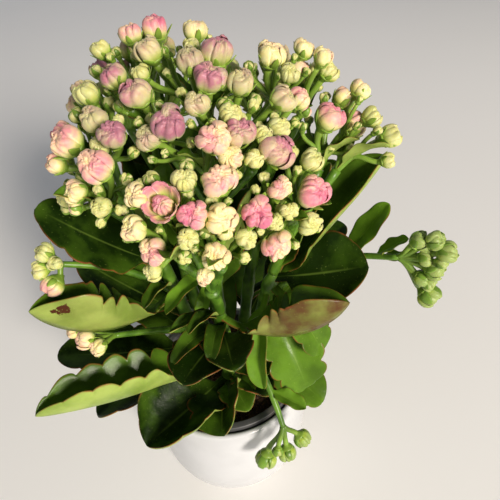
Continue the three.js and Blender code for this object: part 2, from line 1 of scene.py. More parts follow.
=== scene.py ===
"""A potted kalanchoe with plump double buds, in a white cover pot, on a plain pale floor.

Lengths are metres and turns are degrees. +Z is up, the origin is the middle of the cover pot's foot, and
turns round the plant count from -Y, the front, towards +X. The plans of the stems, leaves, buds and shoots
are the ones that the solids follow; the classes below build finer pieces of the same form.
"""

import logging
import math
from collections.abc import Sequence
from dataclasses import dataclass, field
from enum import Enum

import bpy
import numpy as np
from bpy.types import Material, Node, NodeSocket, Object
from mathutils import Matrix


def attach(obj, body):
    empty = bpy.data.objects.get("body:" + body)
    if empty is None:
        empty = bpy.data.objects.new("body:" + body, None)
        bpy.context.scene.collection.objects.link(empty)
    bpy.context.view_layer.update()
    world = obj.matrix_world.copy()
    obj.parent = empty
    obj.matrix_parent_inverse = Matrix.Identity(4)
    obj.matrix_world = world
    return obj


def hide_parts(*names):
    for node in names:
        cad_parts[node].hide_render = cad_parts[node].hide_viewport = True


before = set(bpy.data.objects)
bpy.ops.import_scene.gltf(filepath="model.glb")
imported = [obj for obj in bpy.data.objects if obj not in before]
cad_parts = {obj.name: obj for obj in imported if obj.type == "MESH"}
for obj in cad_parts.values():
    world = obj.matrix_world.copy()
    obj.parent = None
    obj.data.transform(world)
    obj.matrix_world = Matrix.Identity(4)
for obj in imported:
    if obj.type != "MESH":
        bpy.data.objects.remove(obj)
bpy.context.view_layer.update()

log = logging.getLogger("kalanchoe")

BODY = "root"
MM = 0.001  # one millimetre
Array = np.ndarray
Point = tuple[float, float, float]
PHOTO_WIDTH = 500  # pixels of the square picture that the camera is fitted to


class Tone(Enum):
    """How far a bud's colour has turned: its shares of pink and of green, and how much painted shade greys it
    as if it lay in shadow.
    """

    # The third share is painted shade. Two tones are buds greyed by it as if in shadow, one cream and one
    # pink, and the closed green buds are darkened by it too.
    GREEN = (0.1, 0.5, 0.0)
    CREAM = (0.24, 0.1, 0.0)
    PEACH = (0.5, 0.05, 0.0)
    PINK = (1.0, 0.02, 0.0)
    DUSKY = (0.3, 0.2, 0.65)
    MAUVE = (0.85, 0.05, 0.7)
    OPEN = (0.8, 0.02, 0.1)
    CLOSED = (0.07, 1.0, 0.35)


GREEN, CREAM, PEACH, PINK, DUSKY, MAUVE, OPEN, CLOSED = Tone


@dataclass(frozen=True)
class StemPlan:
    """Where a stem leaves the soil, as (x, y), and where it ends, as (x, y, z)."""

    foot: tuple[float, float]
    top: Point


@dataclass(frozen=True)
class LeafPlan:
    """A leaf's height on its stem, its directions and size, and how it is folded, cupped, bent and rolled."""

    height: float
    turn: float
    pitch: float
    length: float
    width: float
    fold: float
    cup: float
    bend: float
    roll: float


@dataclass(frozen=True)
class LeafLook:
    """What sets one leaf apart on its skin and rim: how bright its top is, which is partly its own tone and
    partly painted light and shade, how blushed below, a scar, and its teeth.

    A tooth is as long as `tooth` in metres and as deep as a share of the half width.
    """

    # Partly the leaf's own tone and partly painted light and shade: low for a leaf lying in shadow, high for
    # a sunlit one.
    age: float = 0.25
    blush: float = 0.15
    scar: float = 0.0
    tooth: float = 0.0125
    toothed: tuple[float, float] = (0.08, 1.0)
    depth: float = 0.13


@dataclass(frozen=True)
class BudPlan:
    """A bud's turn, its tilt from upright, its reach from the dome's centre, its width and its tone."""

    turn: float
    tilt: float
    reach: float
    width: float
    tone: Tone


@dataclass(frozen=True)
class ShootPlan:
    """A side shoot: the stem that bears it, its stalk, its buds as (x, y, z, width, tone) and its leaves."""

    stem: str
    stalk: tuple[Point, ...]
    buds: tuple[tuple[float, float, float, float, Tone], ...]
    leaves: tuple[tuple[Point, LeafPlan], ...]


STEMS = {
    "left": StemPlan((-0.013, 0.003), (-0.028, 0.002, 0.19)),
    "front": StemPlan((0.002, -0.013), (0.003, -0.024, 0.174)),
    "right": StemPlan((0.015, 0), (0.033, -0.003, 0.18)),
    "back_right": StemPlan((0.011, 0.017), (0.025, 0.033, 0.178)),
    "back_left": StemPlan((-0.011, 0.017), (-0.024, 0.032, 0.178)),
    "centre": StemPlan((0, 0.002), (0, 0.005, 0.186)),
}
LEAVES = {
    "left": (
        LeafPlan(0.166, -57, 18, 0.088, 0.052, 50, 22, 44, 18),
        LeafPlan(0.186, -84, 40, 0.072, 0.038, 6, 8, 10, -16),
        LeafPlan(0.114, -82, 8, 0.088, 0.042, 14, 12, 8, 0),
        LeafPlan(0.144, -108, 26, 0.076, 0.04, 16, 12, 8, 0),
        LeafPlan(0.098, -64, -3, 0.076, 0.042, 16, 14, -8, 14),
        LeafPlan(0.12, -128, 14, 0.076, 0.042, 16, 14, 10, 0),
        LeafPlan(0.166, -132, 40, 0.076, 0.04, 22, 14, 8, 0),
    ),
    "front": (
        LeafPlan(0.13, -67, 5, 0.108, 0.048, 48, 24, 14, 14),
        LeafPlan(0.104, -50, -6, 0.064, 0.062, 20, 50, 2, -4),
        LeafPlan(0.17, 73, 13, 0.077, 0.046, 50, 22, 44, -20),
        LeafPlan(0.101, -6, 2, 0.041, 0.044, 18, 30, -16, 30),
        LeafPlan(0.124, 60, 8, 0.03, 0.022, 14, 12, -16, 0),
        LeafPlan(0.15, -24, 20, 0.048, 0.034, 14, 10, -10, 0),
        LeafPlan(0.154, 10, 24, 0.042, 0.03, 16, 10, -16, 0),
    ),
    "right": (
        LeafPlan(0.176, 76, 16, 0.054, 0.046, 8, 30, 10, 26),
        LeafPlan(0.16, 30, -44, 0.061, 0.037, 16, 10, -28, 14),
        LeafPlan(0.108, 54, -14, 0.056, 0.034, 12, 10, -20, 0),
        LeafPlan(0.168, 104, 48, 0.096, 0.036, 34, 14, 4, 0),
        LeafPlan(0.172, 126, 54, 0.074, 0.03, 30, 14, 2, 0),
        LeafPlan(0.14, 128, 24, 0.068, 0.04, 20, 14, 10, 0),
        LeafPlan(0.112, 106, 4, 0.054, 0.036, 16, 12, 8, 0),
        LeafPlan(0.128, 80, 14, 0.044, 0.032, 16, 12, 6, 0),
    ),
    "back_right": (
        LeafPlan(0.162, 150, 40, 0.09, 0.04, 26, 12, 8, -6),
        LeafPlan(0.147, 176, 37, 0.07, 0.046, 18, 16, 6, 8),
        LeafPlan(0.138, 118, 14, 0.082, 0.04, 18, 12, 12, 0),
        LeafPlan(0.11, 156, 8, 0.068, 0.044, 14, 14, 10, 6),
        LeafPlan(0.119, 172, 10, 0.076, 0.036, 18, 10, 6, 0),
    ),
    "back_left": (
        LeafPlan(0.17, -158, 50, 0.07, 0.042, 18, 17, 4, 12),
        LeafPlan(0.153, -172, 30, 0.084, 0.04, 24, 12, 10, -8),
        LeafPlan(0.134, -122, 20, 0.07, 0.044, 12, 16, 12, 6),
        LeafPlan(0.106, -150, 2, 0.08, 0.038, 18, 10, 6, -6),
        LeafPlan(0.127, -166, 22, 0.064, 0.04, 12, 14, 10, 8),
    ),
    "centre": (
        LeafPlan(0.112, 178, 34, 0.056, 0.02, 14, 12, 4, 0),
        LeafPlan(0.15, 178, 50, 0.076, 0.04, 20, 12, 6, 0),
        LeafPlan(0.172, 140, 60, 0.056, 0.03, 26, 12, 6, 0),
        LeafPlan(0.174, -140, 60, 0.058, 0.03, 26, 12, 6, 0),
    ),
}


def spray(*buds: tuple[float, float, float, float, Tone]) -> tuple[BudPlan, ...]:
    """Plans the buds that one branch of a flower head bears."""
    return tuple(BudPlan(*bud) for bud in buds)


# Some buds, most of them in the centre head, take tones with painted shade, for a band of shadow across the
# dome.
HEADS = {
    "left": (
        spray((-75, 39, 0.07, 0.01, GREEN), (-53, 43, 0.069, 0.01, DUSKY), (-92, 44, 0.071, 0.008, DUSKY)),
        spray((-63, 55, 0.071, 0.013, PEACH), (-35, 45, 0.069, 0.0105, MAUVE), (-80, 58, 0.07, 0.009, PINK)),
        spray((-37, 56, 0.071, 0.0125, PEACH), (-48, 67, 0.07, 0.009, CREAM), (-34, 69, 0.069, 0.008, GREEN)),
        spray((-84, 72, 0.068, 0.01, CREAM), (-66, 78, 0.067, 0.008, GREEN)),
    ),
    "front": (
        spray((-19, 62, 0.07, 0.009, CREAM), (-9, 64, 0.071, 0.0125, OPEN), (-1, 57, 0.069, 0.0085, GREEN)),
        spray((1, 67, 0.071, 0.0105, PINK), (10, 69, 0.07, 0.011, CREAM), (11, 58, 0.071, 0.012, PEACH)),
        spray((-20, 73, 0.07, 0.0095, CREAM), (-14, 80, 0.069, 0.01, PEACH), (-2, 76, 0.067, 0.008, GREEN)),
        spray((6, 83, 0.068, 0.011, CREAM), (18, 80, 0.066, 0.008, GREEN)),
    ),
    "right": (
        spray((22, 70, 0.071, 0.0115, PINK), (33, 66, 0.069, 0.009, PEACH), (29, 77, 0.067, 0.007, GREEN)),
        spray((28, 85, 0.069, 0.012, PEACH), (47, 73, 0.07, 0.013, PINK), (52, 63, 0.069, 0.009, GREEN)),
        spray((81, 60, 0.071, 0.0125, PINK), (86, 69, 0.079, 0.012, PEACH), (91, 60, 0.079, 0.01, PEACH)),
        spray((84, 67, 0.087, 0.009, GREEN), (89, 60, 0.087, 0.0085, CREAM), (80, 73, 0.093, 0.01, GREEN)),
    ),
    "back_right": (
        spray(
            (89, 30, 0.071, 0.011, CREAM), (104, 45, 0.071, 0.0095, PEACH), (102, 42, 0.079, 0.0085, CREAM),
        ),
        spray((97, 47, 0.082, 0.0085, CREAM), (100, 53, 0.08, 0.0085, GREEN), (112, 56, 0.078, 0.009, GREEN)),
        spray((128, 44, 0.072, 0.011, CREAM), (140, 56, 0.072, 0.01, GREEN), (122, 62, 0.074, 0.009, PEACH)),
        spray((150, 72, 0.07, 0.0105, CREAM), (132, 76, 0.072, 0.009, PEACH), (166, 62, 0.071, 0.01, GREEN)),
    ),
    "back_left": (
        spray(
            (-103, 31, 0.076, 0.008, GREEN), (-119, 22, 0.075, 0.0095, PEACH),
            (-140, 17, 0.074, 0.0115, PINK),
        ),
        spray(
            (-118, 44, 0.072, 0.01, MAUVE), (-136, 36, 0.072, 0.011, MAUVE), (-104, 56, 0.071, 0.009, CREAM),
        ),
        spray((-160, 42, 0.072, 0.011, CREAM), (176, 52, 0.071, 0.01, PEACH), (-146, 56, 0.071, 0.01, GREEN)),
        spray(
            (-124, 68, 0.07, 0.0105, PEACH), (-152, 74, 0.07, 0.009, CREAM), (-176, 72, 0.069, 0.01, GREEN),
        ),
    ),
    "centre": (
        spray((158, 8, 0.071, 0.0095, CREAM), (-71, 13, 0.07, 0.011, DUSKY), (150, 40, 0.056, 0.01, GREEN)),
        spray((9, 16, 0.07, 0.011, DUSKY), (46, 15, 0.071, 0.0125, MAUVE), (20, 24, 0.069, 0.0115, MAUVE)),
        spray((-63, 28, 0.07, 0.01, MAUVE), (-31, 30, 0.07, 0.011, MAUVE), (-8, 39, 0.069, 0.012, MAUVE)),
        spray((8, 32, 0.067, 0.009, DUSKY), (40, 30, 0.07, 0.01, DUSKY), (56, 41, 0.07, 0.01, DUSKY)),
        spray((-18, 43, 0.066, 0.009, DUSKY), (12, 45, 0.069, 0.012, PEACH), (26, 38, 0.066, 0.0085, GREEN)),
        spray((26, 45, 0.067, 0.011, MAUVE), (18, 52, 0.067, 0.0085, CREAM), (36, 48, 0.067, 0.007, GREEN)),
        spray((39, 55, 0.068, 0.013, MAUVE), (69, 45, 0.069, 0.009, PEACH), (47, 48, 0.066, 0.008, GREEN)),
    ),
}
SHOOTS = (
    ShootPlan(
        stem="right",
        stalk=((0.029, -0.002, 0.162), (0.052, 0.004, 0.173), (0.075, -0.001, 0.186), (0.096, -0.018, 0.199)),
        buds=(
            (0.103, -0.022, 0.213, 0.0095, CLOSED),
            (0.109, -0.026, 0.215, 0.009, CLOSED),
            (0.114, -0.03, 0.211, 0.0095, CLOSED),
            (0.111, -0.029, 0.199, 0.01, CLOSED),
            (0.106, -0.028, 0.192, 0.009, CLOSED),
            (0.111, -0.03, 0.182, 0.011, CLOSED),
            (0.106, -0.026, 0.205, 0.0075, CLOSED),
            (0.112, -0.031, 0.206, 0.0065, CLOSED),
            (0.109, -0.03, 0.191, 0.0075, CLOSED),
        ),
        leaves=(
            ((0.071, 0.001, 0.183), LeafPlan(0, 108, 48, 0.04, 0.017, 10, 12, 6, 0)),
            ((0.085, -0.008, 0.191), LeafPlan(0, 80, 40, 0.022, 0.01, 20, 10, 0, 0)),
            ((0.087, -0.01, 0.193), LeafPlan(0, 84, -4, 0.02, 0.009, 20, 10, 0, 0)),
        ),
    ),
    ShootPlan(
        stem="front",
        stalk=(
            (0.003, -0.02, 0.148), (0.017, -0.026, 0.145), (0.024, -0.037, 0.133), (0.03, -0.05, 0.121),
            (0.033, -0.057, 0.112),
        ),
        buds=(
            (0.022, -0.063, 0.088, 0.011, CLOSED),
            (0.035, -0.063, 0.094, 0.0095, CLOSED),
            (0.044, -0.059, 0.101, 0.009, CLOSED),
            (0.029, -0.066, 0.101, 0.006, CLOSED),
        ),
        leaves=(
            ((0.0255, -0.042, 0.128), LeafPlan(0, 60, -10, 0.024, 0.011, 20, 10, 0, 0)),
        ),
    ),
    ShootPlan(
        stem="left",
        stalk=(
            (-0.025, 0.002, 0.166), (-0.044, -0.002, 0.186), (-0.06, -0.009, 0.199), (-0.074, -0.014, 0.206),
        ),
        buds=(
            (-0.079, -0.016, 0.216, 0.009, GREEN),
            (-0.083, -0.019, 0.208, 0.009, GREEN),
            (-0.074, -0.02, 0.212, 0.007, GREEN),
            (-0.079, -0.022, 0.198, 0.011, PINK),
        ),
        leaves=(),
    ),
    ShootPlan(
        stem="left",
        stalk=((-0.02, 0.002, 0.132), (-0.042, -0.01, 0.146), (-0.058, -0.02, 0.156)),
        buds=(
            (-0.07, -0.03, 0.166, 0.0105, PEACH),
            (-0.063, -0.033, 0.163, 0.009, CREAM),
            (-0.076, -0.026, 0.169, 0.0075, CREAM),
        ),
        leaves=(),
    ),
)


def filler(height: float, turn: float, pitch: float, length: float, width: float) -> LeafPlan:
    """Plans one of the steep leaves that fill the deep shade between the stalks."""
    return LeafPlan(height, turn, pitch, length, width, fold=24, cup=14, bend=10, roll=0)


# Leaves deep among the stalks and narrow young ones, which are too slight for the solids.
EXTRA_LEAVES = {
    "front": (
        LeafPlan(0.157, -40, 20, 0.042, 0.012, 20, 10, -40, 0),
        LeafPlan(0.159, -8, 26, 0.038, 0.011, 20, 10, -46, 0),
        LeafPlan(0.17, -30, 34, 0.034, 0.009, 30, 16, -30, 0),
        LeafPlan(0.166, -52, 30, 0.036, 0.009, 30, 16, -36, 0),
        LeafPlan(0.128, -60, 40, 0.026, 0.017, 40, 20, 20, 0),
        LeafPlan(0.1, 22, 14, 0.032, 0.026, 20, 14, -16, 10),
        LeafPlan(0.104, 52, 12, 0.034, 0.025, 20, 14, -10, -8),
    ),
    "left": (
        LeafPlan(0.17, -20, 28, 0.036, 0.01, 30, 16, -30, 0),
        filler(0.184, 160, 66, 0.06, 0.024),
    ),
    "back_left": (
        filler(0.172, -60, 64, 0.062, 0.027),
        filler(0.174, 80, 62, 0.062, 0.027),
        filler(0.176, 170, 66, 0.066, 0.027),
        filler(0.17, -130, 58, 0.064, 0.028),
        filler(0.181, 156, 51, 0.069, 0.028),
        filler(0.181, -136, 57, 0.068, 0.028),
    ),
    "back_right": (
        filler(0.172, 60, 62, 0.062, 0.027),
        filler(0.174, -80, 64, 0.062, 0.027),
        filler(0.176, -170, 66, 0.066, 0.027),
        filler(0.17, 130, 58, 0.064, 0.028),
        filler(0.181, 125, 45, 0.068, 0.028),
        filler(0.18, 83, 45, 0.068, 0.028),
    ),
    "right": (
        LeafPlan(0.167, -11, -41, 0.058, 0.018, 30, 14, -26, 24),
        LeafPlan(0.1715, 46, -38, 0.052, 0.025, 14, 10, -32, 14),
    ),
    "centre": (
        filler(0.18, 90, 64, 0.056, 0.026),
        filler(0.18, -90, 64, 0.056, 0.026),
        filler(0.182, 180, 68, 0.066, 0.027),
        filler(0.184, 140, 74, 0.06, 0.026),
        filler(0.184, -140, 74, 0.06, 0.026),
        LeafPlan(0.178, -52, -14, 0.038, 0.012, 24, 12, -26, 0),
        LeafPlan(0.178, -24, -40, 0.036, 0.009, 20, 10, -20, 0),
    ),
}
# The leaves whose skin or teeth stand out. Their first number, how bright the top is, is partly painted light
# and shade: low for leaves lying in shadow, high for sunlit ones.
LOOKS = {
    ("left", 0): LeafLook(0.3, 0.3, 1.0, 0.0095, (-0.1, 0.5), 0.3),
    ("left", 1): LeafLook(-0.12, 0.2),
    ("left", 2): LeafLook(-0.05),
    ("left", 3): LeafLook(-0.08),
    ("left", 4): LeafLook(-0.1),
    ("front", 0): LeafLook(0.35, 0.05, 0.0, 0.0135, (0.1, 1.0), 0.24),
    ("front", 1): LeafLook(-0.08, 0.1),
    ("front", 2): LeafLook(0.3, 1.0, 0.0, 0.0075, (-0.1, 0.45), 0.36),
    ("front", 3): LeafLook(-0.05),
    ("front", 5): LeafLook(-0.1),
    ("front", 6): LeafLook(-0.1),
    ("front", 7): LeafLook(0.05),
    ("front", 8): LeafLook(0.05),
    ("centre", 9): LeafLook(0.85),
    ("centre", 10): LeafLook(0.8),
    ("right", 0): LeafLook(-0.15, 0.5, 0.0, 0.02, (0.3, 1.0), 0.05),
    ("right", 1): LeafLook(0.34, 0.1, 0.0, 0.0105, (0.08, 1.0), 0.2),
    ("right", 2): LeafLook(0.36, 0.1),
    ("right", 3): LeafLook(0.2, 0.1),
    ("right", 8): LeafLook(0.5, 0.1, 0.0, 0.0105, (0.1, 1.0), 0.2),
    ("right", 9): LeafLook(0.3, 0.1, 0.0, 0.0105, (0.1, 1.0), 0.18),
}

POT_HEIGHT = 0.095
POT_FLOOR = 0.005
TOUCH_GAP = 0.0003  # between two pieces that stand in each other
NURSERY_TOP = POT_HEIGHT + 0.0016
GROUND = NURSERY_TOP - 0.0094  # the edge of the soil's surface
STEM_RADIUS = 0.0037
STEM_HOLE_GAP = 0.0006
STEM_DEPTH_IN_SOIL = 0.026
STEM_STRAIGHT = 0.007  # how far a stem runs straight at its foot and at its top
STEM_CURVE = 1.3  # the power by which a stem leans out as it rises
DOME_CENTRE = np.array([0.0, 0.012, 0.232])  # the buds stand round it
AXIS_GAP = 0.0001  # how near a turned outline comes to its axis
ARCH_REACH = 0.4  # the share of an arch's span over which each end keeps its direction
BIT_SIDES = 20


# ---- small helpers ----
def linear(hex_colour: str) -> tuple[float, float, float, float]:
    """Turns an sRGB colour such as "#4f7d2c" into the linear colour that a shader socket takes.

    Args:
        hex_colour: the colour as # and six hex digits.

    Returns:
        Red, green, blue and alpha, each from 0 to 1.
    """
    shares = [int(hex_colour[start:start + 2], 16) / 255 for start in (1, 3, 5)]
    curved = [share / 12.92 if share <= 0.04045 else ((share + 0.055) / 1.055) ** 2.4 for share in shares]
    return (*curved, 1.0)


def vary(seed: float, index: float | Array) -> float | Array:
    """Draws numbers from -1 to 1 that are always the same for the same seed and index.

    Args:
        seed: what the numbers belong to.
        index: which of its numbers are wanted.

    Returns:
        A number for each index.
    """
    wave = np.sin(seed * 127.1 + index * 311.7) * 43758.5453  # any large, unrelated numbers do
    return 2 * (wave - np.floor(wave)) - 1


def ease(shares: Array | float) -> Array:
    """Turns shares, cut to 0 to 1, into a curve that starts and ends level."""
    cut = np.clip(shares, 0, 1)
    return cut * cut * (3 - 2 * cut)


def unit(vector: Array) -> Array:
    """Scales a vector to length one."""
    return vector / np.linalg.norm(vector)


def direction(turn: float, tilt: float) -> Array:
    """Gives the unit vector with a turn round the plant and a tilt from upright, both in degrees."""
    around, down = math.radians(turn), math.radians(tilt)
    return np.array([math.sin(down) * math.sin(around), -math.sin(down) * math.cos(around), math.cos(down)])


def turned_about(vector: Array, axis: Array, angle: float) -> Array:
    """Turns a vector about a unit axis by an angle in radians."""
    return np.array(Matrix.Rotation(angle, 3, axis.tolist())) @ vector


def square_to(axis: Array, spin: float = 0.0) -> tuple[Array, Array]:
    """Finds two directions square to an axis and to each other.

    Args:
        axis: a unit vector.
        spin: how far the first direction is turned about the axis, in radians.

    Returns:
        The first and the second direction.
    """
    first = turned_about(unit(np.cross([0.0, 1.0, 0.0], axis)), axis, spin)
    return first, np.cross(axis, first)


def smooth_through(places: Array, knots: Array, values: Array) -> Array:
    """Runs a smooth curve through values that are given at knots.

    Args:
        places: where the curve is wanted.
        knots: rising numbers at which the values are known.
        values: one row for each knot.

    Returns:
        One row for each place.
    """
    slopes = np.gradient(values, knots, axis=0)
    low = np.clip(np.searchsorted(knots, places, side="right") - 1, 0, len(knots) - 2)
    span = (knots[low + 1] - knots[low])[:, None]
    t = ((places - knots[low])[:, None]) / span
    return (
        (2 * t**3 - 3 * t**2 + 1) * values[low]
        + (t**3 - 2 * t**2 + t) * span * slopes[low]
        + (3 * t**2 - 2 * t**3) * values[low + 1]
        + (t**3 - t**2) * span * slopes[low + 1]
    )


def curve_through(points: list[Array], steps: int) -> Array:
    """Runs a smooth curve through points.

    Args:
        points: the points.
        steps: how many steps there are between each two.

    Returns:
        The curve's points, one in a row.
    """
    values = np.array(points, float)
    knots = np.concatenate([[0.0], np.cumsum(np.linalg.norm(np.diff(values, axis=0), axis=1))])
    index = np.linspace(0, len(points) - 1, steps * (len(points) - 1) + 1)
    places = np.interp(index, np.arange(len(points)), knots)
    return smooth_through(places, knots, values)


def arch(
    start: Array, leaving: Array, end: Array, arriving: Array, count: int
) -> Array:
    """Bends a line from one point to another.

    Args:
        start: the first point.
        leaving: the unit direction in which it leaves the first point.
        end: the last point.
        arriving: the unit direction in which it reaches the last point.
        count: how many points the line gets.

    Returns:
        The points, one in a row.
    """
    reach = np.linalg.norm(end - start) * ARCH_REACH
    near, far = start + leaving * reach, end - arriving * reach
    t = np.linspace(0, 1, count)[:, None]
    return (1 - t)**3 * start + 3 * t * (1 - t)**2 * near + 3 * t**2 * (1 - t) * far + t**3 * end


def sweep(path: Array, radii: Array | float, sides: int) -> Array:
    """Lays rings round a path, without twist.

    Args:
        path: the points of the path.
        radii: one radius, or one for each point.
        sides: how many points a ring has.

    Returns:
        The rings, as an array of rings, points and coordinates.
    """
    along = np.gradient(path, axis=0)
    along /= np.linalg.norm(along, axis=1)[:, None]
    first = square_to(along[0])[0]
    angles = np.linspace(0, 2 * math.pi, sides, endpoint=False)
    widths = np.broadcast_to(np.asarray(radii, float), (len(path),))
    rings = []
    for middle, axis, radius in zip(path, along, widths):
        first = unit(first - axis * (first @ axis))
        second = np.cross(axis, first)
        rings.append(middle + radius * (np.outer(np.cos(angles), first) + np.outer(np.sin(angles), second)))
    return np.array(rings)


class Draft:
    """A mesh in the making: closed lofts with the masks that the finishes read."""

    def __init__(self, *mask_names: str) -> None:
        """Starts an empty mesh with a mask for each name."""
        self.mask_names = mask_names
        self.points: list[Array] = []
        self.faces: list[Array] = []
        self.finish_of_face: list[Array] = []
        self.masks: dict[str, list[Array]] = {name: [] for name in mask_names}
        self.count = 0

    def loft(self, rings: Array, finish: int = 0, **masks: Array | float) -> None:
        """Adds a skin over rings, closed at both ends.

        Args:
            rings: rings of points, each running anticlockwise seen from the last ring's side.
            finish: the number of the finish that the skin gets.
            masks: a value for each point, or one for all of them, by the mask's name.
        """
        rows, around = rings.shape[:2]
        ring, corner = np.meshgrid(np.arange(rows - 1), np.arange(around), indexing="ij")
        following = (corner + 1) % around
        near, far = self.count + ring * around + corner, self.count + ring * around + following
        sides = np.stack([near, far, far + around, near + around], -1)
        first, last = self.count + rows * around, self.count + rows * around + 1
        low, high = self.count + np.arange(around), first - around + np.arange(around)
        start = np.stack([np.roll(low, -1), low, np.full(around, first)], -1)
        end = np.stack([high, np.roll(high, -1), np.full(around, last)], -1)
        self.points += [rings.reshape(-1, 3), rings[0].mean(0)[None], rings[-1].mean(0)[None]]
        self.faces += [sides.reshape(-1, 4), start, end]
        self.finish_of_face.append(np.full(sides.shape[0] * around + 2 * around, finish))
        for name in self.mask_names:
            values = np.broadcast_to(np.asarray(masks.get(name, 0.0), float), (rows, around))
            self.masks[name] += [values.reshape(-1), values[0].mean()[None], values[-1].mean()[None]]
        self.count = last + 1

    def build(self, name: str, finishes: list[Material]) -> Object:
        """Makes the object, with smooth shading and its masks as attributes.

        Args:
            name: the object's name.
            finishes: the materials, in the order of the finish numbers.

        Returns:
            The new object, linked to the scene.
        """
        mesh = bpy.data.meshes.new(name)
        faces = [face for block in self.faces for face in block.tolist()]
        mesh.from_pydata(np.concatenate(self.points).tolist(), [], faces)
        for mask in self.mask_names:
            attribute = mesh.attributes.new(mask, "FLOAT", "POINT")
            attribute.data.foreach_set("value", np.concatenate(self.masks[mask]).astype(np.float32))
        for finish in finishes:
            mesh.materials.append(finish)
        mesh.polygons.foreach_set("material_index", np.concatenate(self.finish_of_face).astype(np.int32))
        mesh.shade_smooth()
        piece = bpy.data.objects.new(name, mesh)
        bpy.context.scene.collection.objects.link(piece)
        return piece


def seat(piece: Object, slot: str, *nodes: str) -> Object:
    """Puts a piece in the frame: it rides on the body, stands for its nodes and is logged.

    Args:
        piece: the finished object.
        slot: the material slot that it would take its finish from; not used.
        nodes: the solids that it stands for.

    Returns:
        The same object.
    """
    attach(piece, BODY)
    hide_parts(*nodes)
    log.info("%s: %d points, for %s", piece.name, len(piece.data.vertices), ", ".join(nodes))
    return piece


# ---- finishes ----
# What the meshes say about each of their points, for the finishes to read.
# Of the leaves' masks, the fourth sets how bright the top is: partly the leaf's own tone, partly painted
# light and shade.
LEAF_MASKS = ("along", "across", "upper", "age", "blush", "scar", "ripe")
# Of the buds' masks, the last is painted shade, which greys the petal as if it lay in shadow.
BUD_MASKS = ("rise", "crease", "pink", "unripe", "dusk")
# The settings that many nodes share.
COLOURS = {"data_type": "RGBA"}
EASED = {"interpolation_type": "SMOOTHSTEP"}
TIMES = {"operation": "MULTIPLY"}
PLUS = {"operation": "ADD"}


@dataclass(frozen=True)
class Patches:
    """Cloudy patches: their size in metres, the levels between which they fade in, and how ragged they are.

    `start` and `end` are what the pattern gives outside and inside the patches.
    """

    size: float
    low: float
    high: float
    detail: float = 2.0
    roughness: float = 0.5
    start: float = 0.0
    end: float = 1.0


@dataclass(frozen=True)
class Grain:
    """A slight unevenness of a surface: how large and how deep its lumps are in metres, and how ragged."""

    size: float
    depth: float
    detail: float = 2.0
    roughness: float = 0.5


class Recipe:
    """A material in the making, with one way to add a node and the patterns that most finishes share."""

    def __init__(self, name: str) -> None:
        """Starts a material that knows nothing but the places of its points.

        Args:
            name: the material's name.
        """
        self.material = bpy.data.materials.new(name)
        self.material.use_nodes = True
        self.material.node_tree.nodes.clear()
        self.place = self.add("TexCoord").outputs["Object"]

    def add(
        self, kind: str, inputs: list[object] | dict[str, object] | None = None, **settings: object
    ) -> Node:
        """Adds a node with its settings, values and links.

        Args:
            kind: the node's type, without the words that every type starts with.
            inputs: what goes into its open inputs, in their order or by name: a number, a hex colour, a
                socket, or a node, which stands for its first open output.
            settings: the node's own properties.

        Returns:
            The new node.
        """
        tree = self.material.node_tree
        node = tree.nodes.new("ShaderNode" + kind)
        for name, value in settings.items():
            setattr(node, name, value)
        if isinstance(inputs, dict):
            pairs = [(node.inputs[name], value) for name, value in inputs.items()]
        else:
            pairs = list(zip([socket for socket in node.inputs if socket.enabled], inputs or []))
        for socket, value in pairs:
            if isinstance(value, Node):
                value = next(output for output in value.outputs if output.enabled)
            if isinstance(value, NodeSocket):
                tree.links.new(value, socket)
            else:
                socket.default_value = linear(value) if isinstance(value, str) else value
        return node

    def patches(self, pattern: Patches) -> Node:
        """Lays cloudy patches over the surface.

        Args:
            pattern: what they are like.

        Returns:
            The node that tells how far a point is inside a patch.
        """
        noise = self.add("TexNoise", [self.place, 1 / pattern.size, pattern.detail, pattern.roughness])
        return self.add("MapRange", [noise, pattern.low, pattern.high, pattern.start, pattern.end], **EASED)

    def grained(self, grain: Grain, under: Node | None = None) -> Node:
        """Makes the surface uneven.

        Args:
            grain: what the unevenness is like.
            under: a coarser unevenness that this one lies on.

        Returns:
            The node that gives the surface's directions.
        """
        noise = self.add("TexNoise", [self.place, 1 / grain.size, grain.detail, grain.roughness])
        inputs = {"Height": noise, "Distance": grain.depth}
        if under is not None:
            inputs["Normal"] = under
        return self.add("Bump", inputs)

    def finish(self, **inputs: object) -> Material:
        """Closes the material with its surface shader.

        Args:
            inputs: the shader's sockets, with underscores for the spaces in their names.

        Returns:
            The material.
        """
        named = {name.replace("_", " "): value for name, value in inputs.items()}
        self.add("OutputMaterial", {"Surface": self.add("BsdfPrincipled", named)})
        return self.material


@dataclass(frozen=True)
class GlazedCeramic:
    """White glazed ceramic: a smooth, slightly uneven glassy coat that gives soft bright reflections."""

    glaze: str = "#cbcdd1"
    thin_glaze: str = "#c5c7cb"
    roughness: float = 0.13
    thin_roughness: float = 0.19
    ior: float = 1.52
    thin_places: Patches = Patches(22 * MM, 0.35, 0.7, 3)  # how far apart the glaze runs thicker and thinner
    ripple: Grain = Grain(9 * MM, 0.05 * MM)

    def build(self) -> Material:
        """Builds the material.

        Returns:
            The glazed ceramic.
        """
        recipe = Recipe("white_glazed_ceramic")
        thin = recipe.patches(self.thin_places)
        colour = recipe.add("Mix", [thin, self.glaze, self.thin_glaze], **COLOURS)
        rough = recipe.add("MapRange", [thin, 0, 1, self.roughness, self.thin_roughness], **EASED)
        normal = recipe.grained(self.ripple)
        return recipe.finish(Base_Color=colour, Roughness=rough, IOR=self.ior, Normal=normal)


